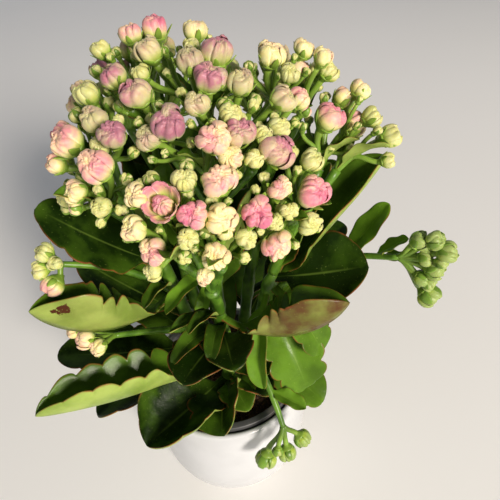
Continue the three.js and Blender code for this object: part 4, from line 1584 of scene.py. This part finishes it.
@dataclass
class Stem:
    """One leafy stem: its fleshy rod, its leaves in pairs and the side shoots that grow from it."""

    name: str
    plan: StemPlan
    leaves: tuple[LeafPlan, ...]
    shoots: list[ShootPlan]
    number: int
    radius: float = STEM_RADIUS
    node_swell: float = 0.0006
    node_reach: float = 0.003
    neck_radius: float = 0.0027
    neck_length: float = 0.009
    sides: int = 18
    steps: int = 14
    shoot_radii: tuple[float, float] = (0.0023, 0.0016)
    shoot_sides: int = 12
    shoot_steps: int = 8
    young: LeafLook = LeafLook(age=0.5)
    blade: LeafBlade = field(default_factory=LeafBlade)

    def point(self, height: float) -> Array:
        """Finds the middle of the stem at a height above the pot's foot.

        Args:
            height: the height.

        Returns:
            The point.
        """
        share = min(1.0, max(0.0, (height - GROUND) / (self.plan.top[2] - GROUND))) ** STEM_CURVE
        x, y = (foot + (top - foot) * share for foot, top in zip(self.plan.foot, self.plan.top))
        return np.array([x, y, height])

    @property
    def top(self) -> Array:
        """The point where the stem ends and its flower head starts."""
        return np.array(self.plan.top)

    @property
    def top_direction(self) -> Array:
        """The way the stem points at its top."""
        return unit(self.top - self.point(self.plan.top[2] - STEM_STRAIGHT))

    def __post_init__(self) -> None:
        """Starts the mesh of the stem with its leaves and the mesh of its buds."""
        self.green, self.buds = Draft(*LEAF_MASKS), Draft(*BUD_MASKS)

    def add_rod(self) -> None:
        """Adds the stem itself, with a swelling at each leaf and a neck under the flower head."""
        foot = np.array([*self.plan.foot, GROUND])
        upright = np.array([0.0, 0.0, 1.0])
        points = [foot - upright * STEM_DEPTH_IN_SOIL, foot + upright * STEM_STRAIGHT]
        points += [self.point(GROUND + share * (self.plan.top[2] - GROUND)) for share in (0.4, 0.7)]
        points += [self.top - self.top_direction * STEM_STRAIGHT, self.top]
        path = curve_through(points, self.steps)
        heights = path[:, 2]
        radii = np.full(len(path), self.radius)
        for leaf in self.leaves:
            radii += self.node_swell * np.exp(-(((heights - leaf.height) / self.node_reach) ** 2))
        necked = ease((heights - self.plan.top[2] + self.neck_length) / self.neck_length)
        radii += (self.neck_radius - radii) * necked
        self.green.loft(sweep(path, radii, self.sides), STALK_FINISH)

    def add_shoot(self, plan: ShootPlan, seed: float) -> None:
        """Adds a side shoot with its leaves and buds.

        Args:
            plan: the shoot's plan.
            seed: what sets its buds and leaves apart.
        """
        path = curve_through([np.array(point) for point in plan.stalk], self.shoot_steps)
        radii = np.linspace(*self.shoot_radii, len(path))
        self.green.loft(sweep(path, radii, self.shoot_sides), STALK_FINISH)
        end = path[-1]
        onward = unit(path[-1] - path[-3])
        for index, (x, y, z, width, tone) in enumerate(plan.buds):
            centre = np.array([x, y, z])
            lean = unit(unit(centre - end) + 0.35 * onward)
            bud = Bud(centre, lean, width, vary(90, index), tone, seed + index, self.green, self.buds)
            leaving = unit(onward + unit(centre - end))
            stalk = arch(end - onward * ROOTED, leaving, bud.base, lean, SHORT_STALK_POINTS)
            bud.grow(stalk, CLASPING if tone is CLOSED else SPREADING)
        for index, (root, leaf) in enumerate(plan.leaves):
            self.blade.add(self.green, leaf, np.array(root), seed + index, self.young)

    def build(self, skins: PlantSkins) -> None:
        """Builds the stem, and the buds of its shoots where it has any.

        Args:
            skins: the finishes of the plant.
        """
        self.add_rod()
        for index, leaf in enumerate(self.leaves + EXTRA_LEAVES.get(self.name, ())):
            seed = self.number * 50 + index
            look = LOOKS.get((self.name, index), LeafLook(age=0.08 + 0.2 * vary(seed, 4)))
            self.blade.add(self.green, leaf, self.point(leaf.height), seed, look)
        for index, shoot in enumerate(self.shoots):
            self.add_shoot(shoot, self.number * 30 + index * 10)
        node = f"leafy_stem_{self.name}"
        seat(self.green.build(f"stem_and_leaves_{self.name}", [skins.stalk, skins.leaf]), "leaf", node)
        if self.shoots:
            seat(self.buds.build(f"shoot_buds_{self.name}", [skins.petal]), "bud", node)


# ---- buds and flower heads ----
SMALL_BUD = 0.0066  # a narrower bud is a closed knob, with fewer lobes and no loose petals


@dataclass(frozen=True)
class Sepals:
    """How four sepals clasp a bud: how far they reach up it, how free they stand and how broad they are.

    `ripe` is how pale their foot is, and `ripening` how much paler their tip.
    """

    reach: float
    freedom: float
    breadth: float
    ripe: float
    ripening: float


CLASPING = Sepals(reach=1.5, freedom=0.07, breadth=0.64, ripe=0.1, ripening=0.3)
SPREADING = Sepals(reach=0.95, freedom=0.2, breadth=0.34, ripe=0.25, ripening=0.55)


@dataclass
class Bud:
    """A plump double bud: puffy lobes of petal round a crumpled crown, in a calyx of four fleshy sepals.

    Radii and heights inside the bud count in half widths, heights from its base.
    """

    centre: Array
    lean: Array
    width: float
    spin: float
    tone: Tone
    seed: float
    green: Draft  # takes its stalk and sepals
    petals: Draft
    stalk_radius: float = 0.00135
    stalk_sides: int = 9
    belly: float = 0.95
    crown: float = 1.7
    below: float = 0.8  # powers of the rounding below and above the belly
    above: float = 0.52
    rounding: float = 0.88
    side_climbs: tuple[float, float, int] = (-84, 48, 14)  # the first row, the last row and how many
    crown_radii: tuple[float, float, int] = (0.76, 0.04, 13)
    columns_a_lobe: int = 8
    crease_power: float = 0.55
    puff: float = 0.1
    whole_share: float = 0.1  # from -1 to 1: the fewer, the more buds are cleft in two
    cleft: float = 0.24
    cleft_width: float = 0.3
    fold_depth: float = 0.13
    pit_depth: float = 0.12
    pit_radius: float = 0.35
    open_width: float = 0.68  # the body inside an open bud, as shares of a closed one
    open_height: float = 0.8
    petal_rows: int = 13
    petal_columns: int = 9
    petal_climb: float = 70
    petal_breadth: float = 0.56
    open_petal_breadth: float = 0.66
    petal_thickness: float = 0.09
    ruffle: float = 0.03
    cup_rises: tuple[float, ...] = (-0.5, -0.28, -0.08, 0.06, 0.18, 0.28)
    cup_radii: tuple[float, ...] = (0.16, 0.36, 0.56, 0.72, 0.8, 0.7)
    cup_sides: int = 14
    sepal_thickness: float = 0.09
    sepal_rows: int = 9
    sepal_sides: int = 8

    def __post_init__(self) -> None:
        """Works out the bud's own directions."""
        self.half = self.width / 2
        self.base = self.centre - self.lean * self.half
        self.first, self.second = square_to(self.lean, self.spin)
        self.small = self.width < SMALL_BUD

    def draw(self, index: float | Array) -> float | Array:
        """Draws the bud's own numbers from -1 to 1."""
        return vary(self.seed + 0.37, index)

    def place(self, radius: Array, angle: Array, height: Array) -> Array:
        """Puts points where they lie in the slightly lopsided bud.

        Args:
            radius: their distances from its axis.
            angle: their angles round it, in radians.
            height: their heights.

        Returns:
            The points.
        """
        radius, angle, height = np.broadcast_arrays(radius, angle, height)
        lopsided = 1 + 0.06 * np.cos(angle - 3 * self.draw(30)) + 0.05 * np.cos(2 * angle - 6 * self.draw(31))
        out = (radius * lopsided * self.half)[..., None]
        shift = (0.12 * self.half * ease(height / self.crown))[..., None]
        slide = self.first * self.draw(32) + self.second * self.draw(33)
        ring = np.cos(angle)[..., None] * self.first + np.sin(angle)[..., None] * self.second
        return self.base + (height * self.half)[..., None] * self.lean + out * ring + shift * slide

    def profile(self, climb: Array) -> tuple[Array, Array]:
        """Draws the plump side.

        Args:
            climb: angles up it, in radians from straight down to straight up.

        Returns:
            The radius and the height at each angle.
        """
        radius = np.maximum(np.cos(climb), 0) ** np.where(climb < 0, self.below, self.above)
        reach = np.where(climb < 0, self.belly, self.crown - self.belly)
        return radius, self.belly + np.sign(climb) * np.abs(np.sin(climb)) ** self.rounding * reach

    def girth(self, height: Array) -> Array:
        """Reads the radius of the plump side.

        Args:
            height: the heights at which it is wanted.

        Returns:
            The radius at each.
        """
        radii, heights = self.profile(np.radians(np.linspace(-90, 90, 61)))
        return np.interp(height, heights, radii)

    def add_skin(self, radius: Array, angle: Array, height: Array, crease: Array) -> None:
        """Adds a skin of petal with its masks: the pink is on the crown, one side and the creases.

        Args:
            radius: the distances of its points from the bud's axis.
            angle: their angles round it, in radians.
            height: their heights.
            crease: how deep in a crease they lie.
        """
        rings = self.place(radius, angle, height)
        # The tone's last share is painted shade, which greys the bud as if it lay in shadow.
        pink, unripe, dusk = self.tone.value
        rise, steady = height / self.crown, 0.14 * self.draw(40)
        one_side = 0.5 + 0.5 * np.cos(angle - 3 * self.draw(41))
        flush = ease((rise - 0.22) / 0.6) * (0.45 + 0.55 * one_side) + 0.35 * crease
        self.petals.loft(
            rings, rise=rise, crease=crease, pink=np.clip(pink * (1 + steady) * flush, 0, 1),
            unripe=max(0.0, unripe + steady * 0.5), dusk=dusk * (0.85 + steady),
        )

    def grow(self, path: Array, sepals: Sepals, thinning: float = 1.0) -> None:
        """Adds the bud: its stalk, calyx and puffy body, and on a larger one the petals that wrap it.

        Args:
            path: the stalk's points, the last of them at the bud's base.
            sepals: how the sepals clasp it.
            thinning: the stalk's thickness as a share of the usual one.
        """
        self.add_stalk(path, thinning)
        self.add_calyx(sepals)
        self.add_body(5 if self.small else 6 + int(2 * (1 + self.draw(0))))
        if self.tone is OPEN:
            for petal in range(6):
                self.add_petal(petal, petal * math.pi / 3)
        elif not self.small:
            for petal in range(2 + (self.draw(9) > 0)):
                self.add_petal(petal, 2.2 * petal + 3 * self.draw(8))

    def folds(self, smooth: Array, angle: Array) -> Array:
        """Draws the wandering folds of the crumpled crown.

        Args:
            smooth: the radius of the plump side, which shrinks to nothing at the top.
            angle: angles round the bud, in radians.

        Returns:
            How deep in a fold each point lies, from 0 to 1.
        """
        across, ahead = smooth * np.cos(angle), smooth * np.sin(angle)
        first = np.sin(7.5 * across + 2.2 * np.sin(5 * ahead + 6 * self.draw(4)) + 6 * self.draw(5))
        second = np.sin(7 * ahead + 2.2 * np.sin(6 * across + 6 * self.draw(6)) + 6 * self.draw(7))
        return 1 - np.minimum(np.abs(first), np.abs(second)) ** 0.6

    def add_body(self, lobes: int) -> None:
        """Adds the petals as one puffy body, parted by creases that run up into a crumpled crown.

        Args:
            lobes: how many lobes run round it.
        """
        side = np.linspace(*self.side_climbs)
        top = np.degrees(np.arccos(np.linspace(*self.crown_radii) ** (1 / self.above)))
        angle = np.linspace(0, 2 * math.pi, self.columns_a_lobe * lobes, endpoint=False)[None, :]
        smooth, height = self.profile(np.radians(np.concatenate([side, top]))[:, None])
        crown = ease((height - 0.85) / 0.75)
        warp = 0.42 * np.sin(angle + 6 * self.draw(1)) + 0.16 * np.sin(2 * angle + 6 * self.draw(2))
        phase = lobes * (angle + warp + 1.4 * self.draw(3) * crown * (1 - smooth)) / 2
        lobe = np.abs(np.sin(phase)) ** self.crease_power
        puff = self.draw(10 + np.floor(phase / math.pi) % lobes)
        depth = 0.05 + 0.08 * ease(height / 0.9) + 0.12 * crown
        radius = smooth * (0.98 - depth * (1 - lobe) + self.puff * puff * lobe)
        cleft = 0.0 if self.draw(20) < self.whole_share else self.cleft * (0.4 + 0.6 * ease(height / 1.2))
        split = np.exp(-((np.sin(angle - 3 * self.draw(21)) / self.cleft_width) ** 2))
        radius = radius * (1 + 0.3 * cleft - cleft * split)

        inner = ease((0.82 - smooth) / 0.4)
        fold = self.folds(smooth, angle)
        pit = self.pit_depth * ease((self.pit_radius - smooth) / self.pit_radius)
        swell = crown * (0.12 * lobe * (1 + puff) - 0.12) * (1 - 0.6 * inner)
        height = height + swell - inner * self.fold_depth * fold - pit
        if self.tone is OPEN:
            radius, height = radius * self.open_width, height * self.open_height
        outer_crease = (1 - lobe) ** 1.3 * (0.25 + 0.75 * crown) * (1 - 0.7 * inner)
        crease = np.clip(outer_crease + inner * np.clip(fold * 1.9 - 1.1, 0, 1), 0, 1)
        self.add_skin(radius, angle, height, crease)

    def add_petal(self, number: int, middle: float) -> None:
        """Adds a petal that wraps the body and curls over the crown.

        Args:
            number: which of the petals it is.
            middle: where it stands round the bud, in radians.
        """
        up = np.linspace(0, 1, self.petal_rows)[:, None]
        over = np.linspace(-1, 1, self.petal_columns)
        across = np.concatenate([over, over[::-1]])[None, :]
        outer = np.concatenate([np.ones(self.petal_columns), np.zeros(self.petal_columns)])[None, :]
        seed = 50 + number * 7
        if self.tone is OPEN:
            radius = 0.2 + 1.05 * up**0.8 + 0.14 * self.draw(seed + 1) * up
            height = self.crown * up**1.15 - 0.35 * ease((up - 0.75) / 0.25)
            broad = self.open_petal_breadth
        else:
            first = math.radians(-self.petal_climb)
            last = math.radians(self.petal_climb + 12 * self.draw(seed))
            radius, height = self.profile(first + (last - first) * up)
            broad = self.petal_breadth + 0.1 * self.draw(seed + 3)
        narrow = np.sqrt(np.clip(1 - np.clip((up - 0.6) / 0.42, 0, 1) ** 2.6, 0, 1))
        spread = broad * narrow * (0.4 + 0.6 * ease(up / 0.3))
        spread = spread * np.clip(0.6 / np.maximum(radius, 0.3), 1, 1.6)
        angle = middle + spread * across + 0.35 * self.draw(seed + 4) * ease((height - 0.8) / 0.9)
        puff = self.puff * (1 - across**2) * np.sin(math.pi * up) + 0.03 * ease(up / 0.2)
        ruffle = np.sin(3.1 * math.pi * across + 5 * self.draw(seed + 5)) * ease((up - 0.6) / 0.4)
        ruffle = ruffle * self.ruffle
        skin = self.petal_thickness * outer * np.sqrt(np.clip(1 - across**6, 0, 1))
        tip = ease((up - 0.72) / 0.28)
        radius = radius * 0.95 + puff + ruffle + skin * (1 - tip)
        height = height + 0.08 * tip * (1 - across**2) + skin * tip + ruffle - 0.06 * tip
        self.add_skin(radius, angle, height, np.clip(np.abs(across) ** 6 * 0.3, 0, 1))

    def add_calyx(self, sepals: Sepals) -> None:
        """Adds the fleshy green cup under the bud and the four sepals that clasp it.

        Args:
            sepals: how they clasp it.
        """
        cup = np.maximum(np.array(self.cup_radii) * self.half, self.stalk_radius)
        path = self.base + (np.array(self.cup_rises) * self.half)[:, None] * self.lean
        ripe = np.linspace(0.25, 0.7, len(path))[:, None]
        self.green.loft(sweep(path, cup, self.cup_sides), STALK_FINISH, ripe=ripe)
        reach = sepals.reach * (1 + 0.2 * self.draw(70))
        up = np.linspace(0, 1, self.sepal_rows)[:, None]
        phi = np.linspace(0, 2 * math.pi, self.sepal_sides, endpoint=False)[None, :]
        for sepal in range(4):
            free = sepals.freedom * (1 + 0.8 * self.draw(71 + sepal)) * up**2.5
            height = 0.08 + reach * (1 + 0.15 * self.draw(75 + sepal)) * up
            radius = self.girth(height) * 0.98 + 0.02 + free
            slope = np.gradient(radius, axis=0) / np.gradient(height, axis=0)
            out, level = 1 / np.sqrt(1 + slope**2), -slope / np.sqrt(1 + slope**2)
            breadth = sepals.breadth * (1 - up**1.7) ** 0.7 * (0.7 + 0.3 * ease(up / 0.3)) + 0.015
            lift = self.sepal_thickness * (1 - 0.7 * up) * np.sin(phi)
            middle = math.pi * (sepal / 2 + 0.25 + 0.05 * self.draw(79 + sepal))
            angle = middle + breadth / np.maximum(radius, 0.4) * np.cos(phi)
            rings = self.place(radius - lift * out, angle, height - lift * level)
            self.green.loft(rings, STALK_FINISH, ripe=sepals.ripe + sepals.ripening * up)

    def add_stalk(self, path: Array, thinning: float) -> None:
        """Adds the stalk, which widens where it meets the bud.

        Args:
            path: its points, the last of them at the bud's base.
            thinning: its thickness as a share of the usual one.
        """
        share = np.linspace(0, 1, len(path))
        radii = self.stalk_radius * thinning * (1.15 - 0.15 * share)
        radii = radii + np.maximum(0.36 * self.half - radii, 0) * ease((share - 0.6) / 0.4)
        self.green.loft(sweep(path, radii, self.stalk_sides), STALK_FINISH, ripe=0.1 + 0.5 * share[:, None])


def bud_place(plan: BudPlan) -> Array:
    """Finds the middle of a planned bud."""
    return direction(plan.turn, plan.tilt) * plan.reach + DOME_CENTRE


class BudRoom:
    """Keeps the places of all the buds, so that a new one only grows where there is room."""

    def __init__(self, plans: list[BudPlan], share: float = 0.52) -> None:
        """Starts with the planned buds.

        Args:
            plans: every planned bud of the plant.
            share: of the widths of two buds, how far their middles stay apart.
        """
        self.taken = [(bud_place(plan), plan.width) for plan in plans]
        self.share = share

    def take(self, centre: Array, width: float) -> bool:
        """Takes a place if it is free.

        Args:
            centre: the middle of the bud that would grow there.
            width: its width.

        Returns:
            Whether the place was free.
        """
        gaps = (np.linalg.norm(centre - other) / (width + other_width) for other, other_width in self.taken)
        if min(gaps) <= self.share:
            return False
        self.taken.append((centre, width))
        return True


@dataclass
class FlowerHead:
    """The head that one stem carries: its forking stalks in one mesh and its buds in another."""

    stem: Stem
    sprays: tuple[tuple[BudPlan, ...], ...]
    number: int
    room: BudRoom
    main_fork: float = 0.3
    spray_fork: float = 0.6
    peduncle_radius: float = 0.0029
    peduncle_sides: int = 14
    peduncle_swell: float = 0.35
    branch_radius: float = 0.0019
    branch_sides: int = 11
    branch_swell: float = 0.25
    branch_root: float = 0.0015
    branch_points: int = 12
    bud_stalk_points: int = 13
    side_bud_share: float = 0.7
    side_bud_luck: float = 0.1
    side_bud_spacing: float = 0.56
    side_bud_drop: float = 0.38
    side_bud_node: int = 4  # the point of a bud's stalk from which the smaller ones branch
    knob_widths: tuple[float, float] = (0.0032, 0.0052)
    knobs_a_bud: int = 3
    bract_length: float = 0.023
    bract_share: float = 0.34
    bract_look: LeafLook = LeafLook(age=0.3)
    blade: LeafBlade = field(default_factory=LeafBlade)

    def __post_init__(self) -> None:
        """Starts the mesh of the stalks and the mesh of the buds."""
        self.stalks, self.buds = Draft(*LEAF_MASKS), Draft(*BUD_MASKS)

    def build(self, skins: PlantSkins) -> None:
        """Builds the stalks and the buds of the head.

        Args:
            skins: the finishes of the plant.
        """
        up = self.stem.top_direction
        start = self.stem.top + up * TOUCH_GAP
        middles = [np.mean([bud_place(plan) for plan in spray], axis=0) for spray in self.sprays]
        reach = np.mean([bud_place(plan) for spray in self.sprays for plan in spray], axis=0) - start
        axis = unit(reach)
        fork = start + reach * self.main_fork
        trunk = arch(start, up, fork, axis, self.branch_points)
        swell = ease((np.linspace(0, 1, len(trunk)) - 0.7) / 0.3)
        widths = self.peduncle_radius * (1 + self.peduncle_swell * swell)
        self.stalks.loft(sweep(trunk, widths, self.peduncle_sides), STALK_FINISH)
        for number, (spray, middle) in enumerate(zip(self.sprays, middles)):
            self.add_spray(spray, number, fork, axis, fork + (middle - fork) * self.spray_fork)
        node = f"flower_head_{self.stem.name}"
        seat(self.stalks.build(f"flower_stalks_{self.stem.name}", [skins.stalk, skins.leaf]), "leaf", node)
        seat(self.buds.build(f"double_buds_{self.stem.name}", [skins.petal]), "bud", node)

    def add_spray(
        self, spray: tuple[BudPlan, ...], number: int, fork: Array, axis: Array, end: Array
    ) -> None:
        """Adds a branch with its bracts, and the buds at its end.

        Args:
            spray: the buds' plans.
            number: the spray's number in its head.
            fork: where the head's main stalk divides.
            axis: the way the main stalk points there.
            end: where the branch divides into the buds' stalks.
        """
        towards = unit(end - fork)
        leaving = unit(axis + 0.6 * towards)
        path = arch(fork - axis * self.branch_root, leaving, end, towards, self.branch_points)
        swell = ease((np.linspace(0, 1, len(path)) - 0.75) / 0.25)
        widths = self.branch_radius * (1 + self.branch_swell * swell)
        self.stalks.loft(sweep(path, widths, self.branch_sides), STALK_FINISH)
        spray_seed = self.number * 100 + number * 10
        self.add_bracts(end, towards, spray_seed)
        for index, plan in enumerate(spray):
            self.add_group(plan, end, towards, spray_seed + index)

    def add_bracts(self, root: Array, towards: Array, seed: float) -> None:
        """Adds the pair of narrow bracts where a branch divides.

        Args:
            root: where the branch divides.
            towards: the way it points there.
            seed: what sets the bracts apart.
        """
        turn = math.degrees(math.atan2(towards[0], -towards[1]))
        pitch = math.degrees(math.asin(towards[2]))
        for side in (-1, 1):
            length = self.bract_length * (1 + 0.35 * vary(seed, 60 + side))
            plan = LeafPlan(
                height=0.0, turn=turn + side * (48 + 14 * vary(seed, 63 + side)), pitch=pitch - 14,
                length=length, width=length * self.bract_share, fold=24, cup=14, bend=-26, roll=20 * side,
            )
            self.blade.add(self.stalks, plan, root, seed + side, self.bract_look)

    def add_group(self, plan: BudPlan, fork: Array, towards: Array, seed: float) -> None:
        """Adds a planned bud with the smaller buds beside it.

        Args:
            plan: the bud's plan.
            fork: where its stalk starts.
            towards: the way the branch points there.
            seed: what sets the bud apart.
        """
        centre = bud_place(plan)
        lean = unit(unit(centre - fork) + unit(centre - DOME_CENTRE))
        bud = Bud(centre, lean, plan.width, vary(seed, 1), plan.tone, seed, self.stalks, self.buds)
        leaving = unit(towards + 0.8 * unit(bud.base - fork))
        stalk = arch(fork - towards * ROOTED, leaving, bud.base, lean, self.bud_stalk_points)
        bud.grow(stalk, SPREADING, self.thinning(bud.width))
        for side in (0, 1):
            if vary(seed, 20 + side) < self.side_bud_luck:
                continue
            width = plan.width * self.side_bud_share * (1 + 0.12 * vary(seed, 5 + side))
            swing = (side + 0.5) * math.pi + 0.7 * vary(seed, 3)
            drop = plan.width * (0.14 * vary(seed, 8 + side) - self.side_bud_drop)
            tone = plan.tone if vary(seed, 24 + side) > 0.1 and plan.tone is not OPEN else GREEN
            self.add_side_bud(bud, stalk, width, swing, drop, tone, seed + 0.5 + 0.1 * side)
        for knob in range(self.knobs_a_bud):
            low, high = self.knob_widths
            width = low + (high - low) * (vary(seed, 80 + knob) + 1) / 2
            swing = 2 * math.pi * (knob + 0.4 * vary(seed, 84 + knob)) / self.knobs_a_bud + 2.2
            drop = -plan.width * (0.62 + 0.28 * vary(seed, 88 + knob))
            self.add_side_bud(bud, stalk, width, swing, drop, GREEN, seed + 0.3 + 0.01 * knob)

    def add_side_bud(
        self, beside: Bud, stalk: Array, width: float, swing: float, drop: float, tone: Tone, seed: float
    ) -> None:
        """Adds a smaller bud beside another, if there is room for it.

        Args:
            beside: the bud that it grows beside.
            stalk: that bud's stalk, which it branches from.
            width: its width.
            swing: how far round the other bud it stands, in radians from the level direction.
            drop: how far it stands above the other bud's middle, or below it.
            tone: its tone.
            seed: what sets it apart.
        """
        level = unit(np.cross([0.0, 0.0, 1.0], beside.lean))
        offset = turned_about(level, beside.lean, swing) * self.side_bud_spacing * (beside.width + width)
        centre = beside.centre + offset + beside.lean * drop
        if not self.room.take(centre, width):
            return
        before, start, after = stalk[self.side_bud_node - 1:self.side_bud_node + 2]
        rise = unit(unit(centre - start) + beside.lean)
        bud = Bud(centre, rise, width, vary(seed, 11), tone, seed, self.stalks, self.buds)
        path = arch(start, unit(after - before), bud.base, rise, SHORT_STALK_POINTS)
        bud.grow(path, CLASPING if bud.small else SPREADING, self.thinning(width))

    @staticmethod
    def thinning(width: float) -> float:
        """Gives the thickness of the stalk of a bud that is so wide, as a share of the usual one."""
        return min(1.0, 0.45 + 60 * width)


# ---- the studio ----
@dataclass(frozen=True)
class SoftLight:
    """A soft square light: its place, the length of its side, its power in watts and its colour.

    `shine` says whether glossy skins mirror it, and `aim` is the point in the plant that it faces.
    """

    name: str
    place: Point
    size: float
    power: float
    colour: str
    shine: bool = True
    aim: Point = (0.0, 0.0, 0.16)

    def hang(self) -> None:
        """Hangs the light in the scene."""
        data = bpy.data.lights.new(self.name, "AREA")
        data.size = self.size
        data.energy = self.power
        data.color = linear(self.colour)[:3]
        lamp = bpy.data.objects.new(self.name, data)
        lamp.visible_glossy = self.shine
        back = unit(np.array(self.place) - np.array(self.aim))
        turns = Matrix(np.stack([*square_to(back), back], -1).tolist()).to_4x4()
        lamp.matrix_world = Matrix.Translation(self.place) @ turns
        bpy.context.scene.collection.objects.link(lamp)


@dataclass
class Studio:
    """The pale floor, the soft lights and the camera at the photograph's viewing angle."""

    floor_rings: tuple[tuple[float, float], ...] = ((8.0, -0.02), (8.0, 0.0), (1.0, 0.0), (0.05, 0.0))
    floor_segments: int = 96
    eye: Point = (0.021, -0.196, 0.363)
    look_down: float = 40.6
    tilt: float = -3.8
    focal_pixels: float = 480.0
    sensor: float = 36.0
    sight: tuple[float, float] = (0.01, 50)
    daylight: str = "#f2f5fa"
    daylight_strength: float = 0.16
    lights: tuple[SoftLight, ...] = (
        SoftLight("key_from_the_right", (1.65, -2.75, 1.6), 0.85, 180, "#fff5e8"),
        SoftLight("fill_from_the_left", (-2.75, -1.75, 2.2), 3.0, 8.0, "#eef3ff"),
        SoftLight("glow_from_behind", (-0.7, 2.75, 2.2), 2.6, 18, "#eef3ff", shine=False),
    )

    def floor(self, paper: Material) -> None:
        """Lays the floor, a thin wide disc.

        Args:
            paper: its finish.
        """
        draft = Draft()
        draft.loft(turned(self.floor_rings, self.floor_segments))
        floor = draft.build("pale_floor", [paper])

    def camera(self) -> None:
        """Sets the camera: above the plant in front, looking down at it, slightly tilted."""
        data = bpy.data.cameras.new("camera")
        data.sensor_width = self.sensor
        data.lens = self.focal_pixels / PHOTO_WIDTH * self.sensor
        data.clip_start, data.clip_end = self.sight
        down, roll = math.radians(self.look_down), math.radians(self.tilt)
        ahead = np.array([0.0, math.cos(down), -math.sin(down)])
        right = np.array([1.0, 0.0, 0.0])
        above = np.cross(right, ahead)
        columns = [
            math.cos(roll) * right + math.sin(roll) * above,
            math.cos(roll) * above - math.sin(roll) * right,
            -ahead,
        ]
        camera = bpy.data.objects.new("camera", data)
        camera.matrix_world = Matrix.Translation(self.eye) @ Matrix(np.stack(columns, -1).tolist()).to_4x4()
        bpy.context.scene.collection.objects.link(camera)
        bpy.context.scene.camera = camera

    def build(self) -> None:
        """Builds the floor, the lights, the surrounding light and the camera."""
        self.floor(StudioPaper().build())
        for light in self.lights:
            light.hang()
        world = bpy.data.worlds.new("studio_room")
        world.use_nodes = True
        background = world.node_tree.nodes["Background"].inputs
        background["Color"].default_value = linear(self.daylight)
        background["Strength"].default_value = self.daylight_strength
        scene = bpy.context.scene
        scene.world = world
        scene.view_settings.view_transform = "Standard"
        self.camera()
        log.info("studio: floor, %d lights and the camera", len(self.lights))


def main() -> None:
    """Builds the plant in its pots piece by piece, then the studio."""
    logging.basicConfig(level=logging.INFO, format="%(name)s: %(message)s")
    CoverPot().build(GlazedCeramic().build())
    nursery_pot = NurseryPot()
    nursery_pot.build(MouldedPolypropylene().build())
    SoilHeap(nursery_pot, STEMS).build(PottingMix().build())
    skins = PlantSkins(StalkSkin().build(), LeafSkin().build(), PetalFlesh().build())
    room = BudRoom([plan for sprays in HEADS.values() for spray in sprays for plan in spray])
    for number, (name, plan) in enumerate(STEMS.items()):
        shoots = [shoot for shoot in SHOOTS if shoot.stem == name]
        stem = Stem(name, plan, LEAVES[name], shoots, number + 1)
        stem.build(skins)
        FlowerHead(stem, HEADS[name], number + 1, room).build(skins)
    Studio().build()


if __name__ == "__main__":
    main()
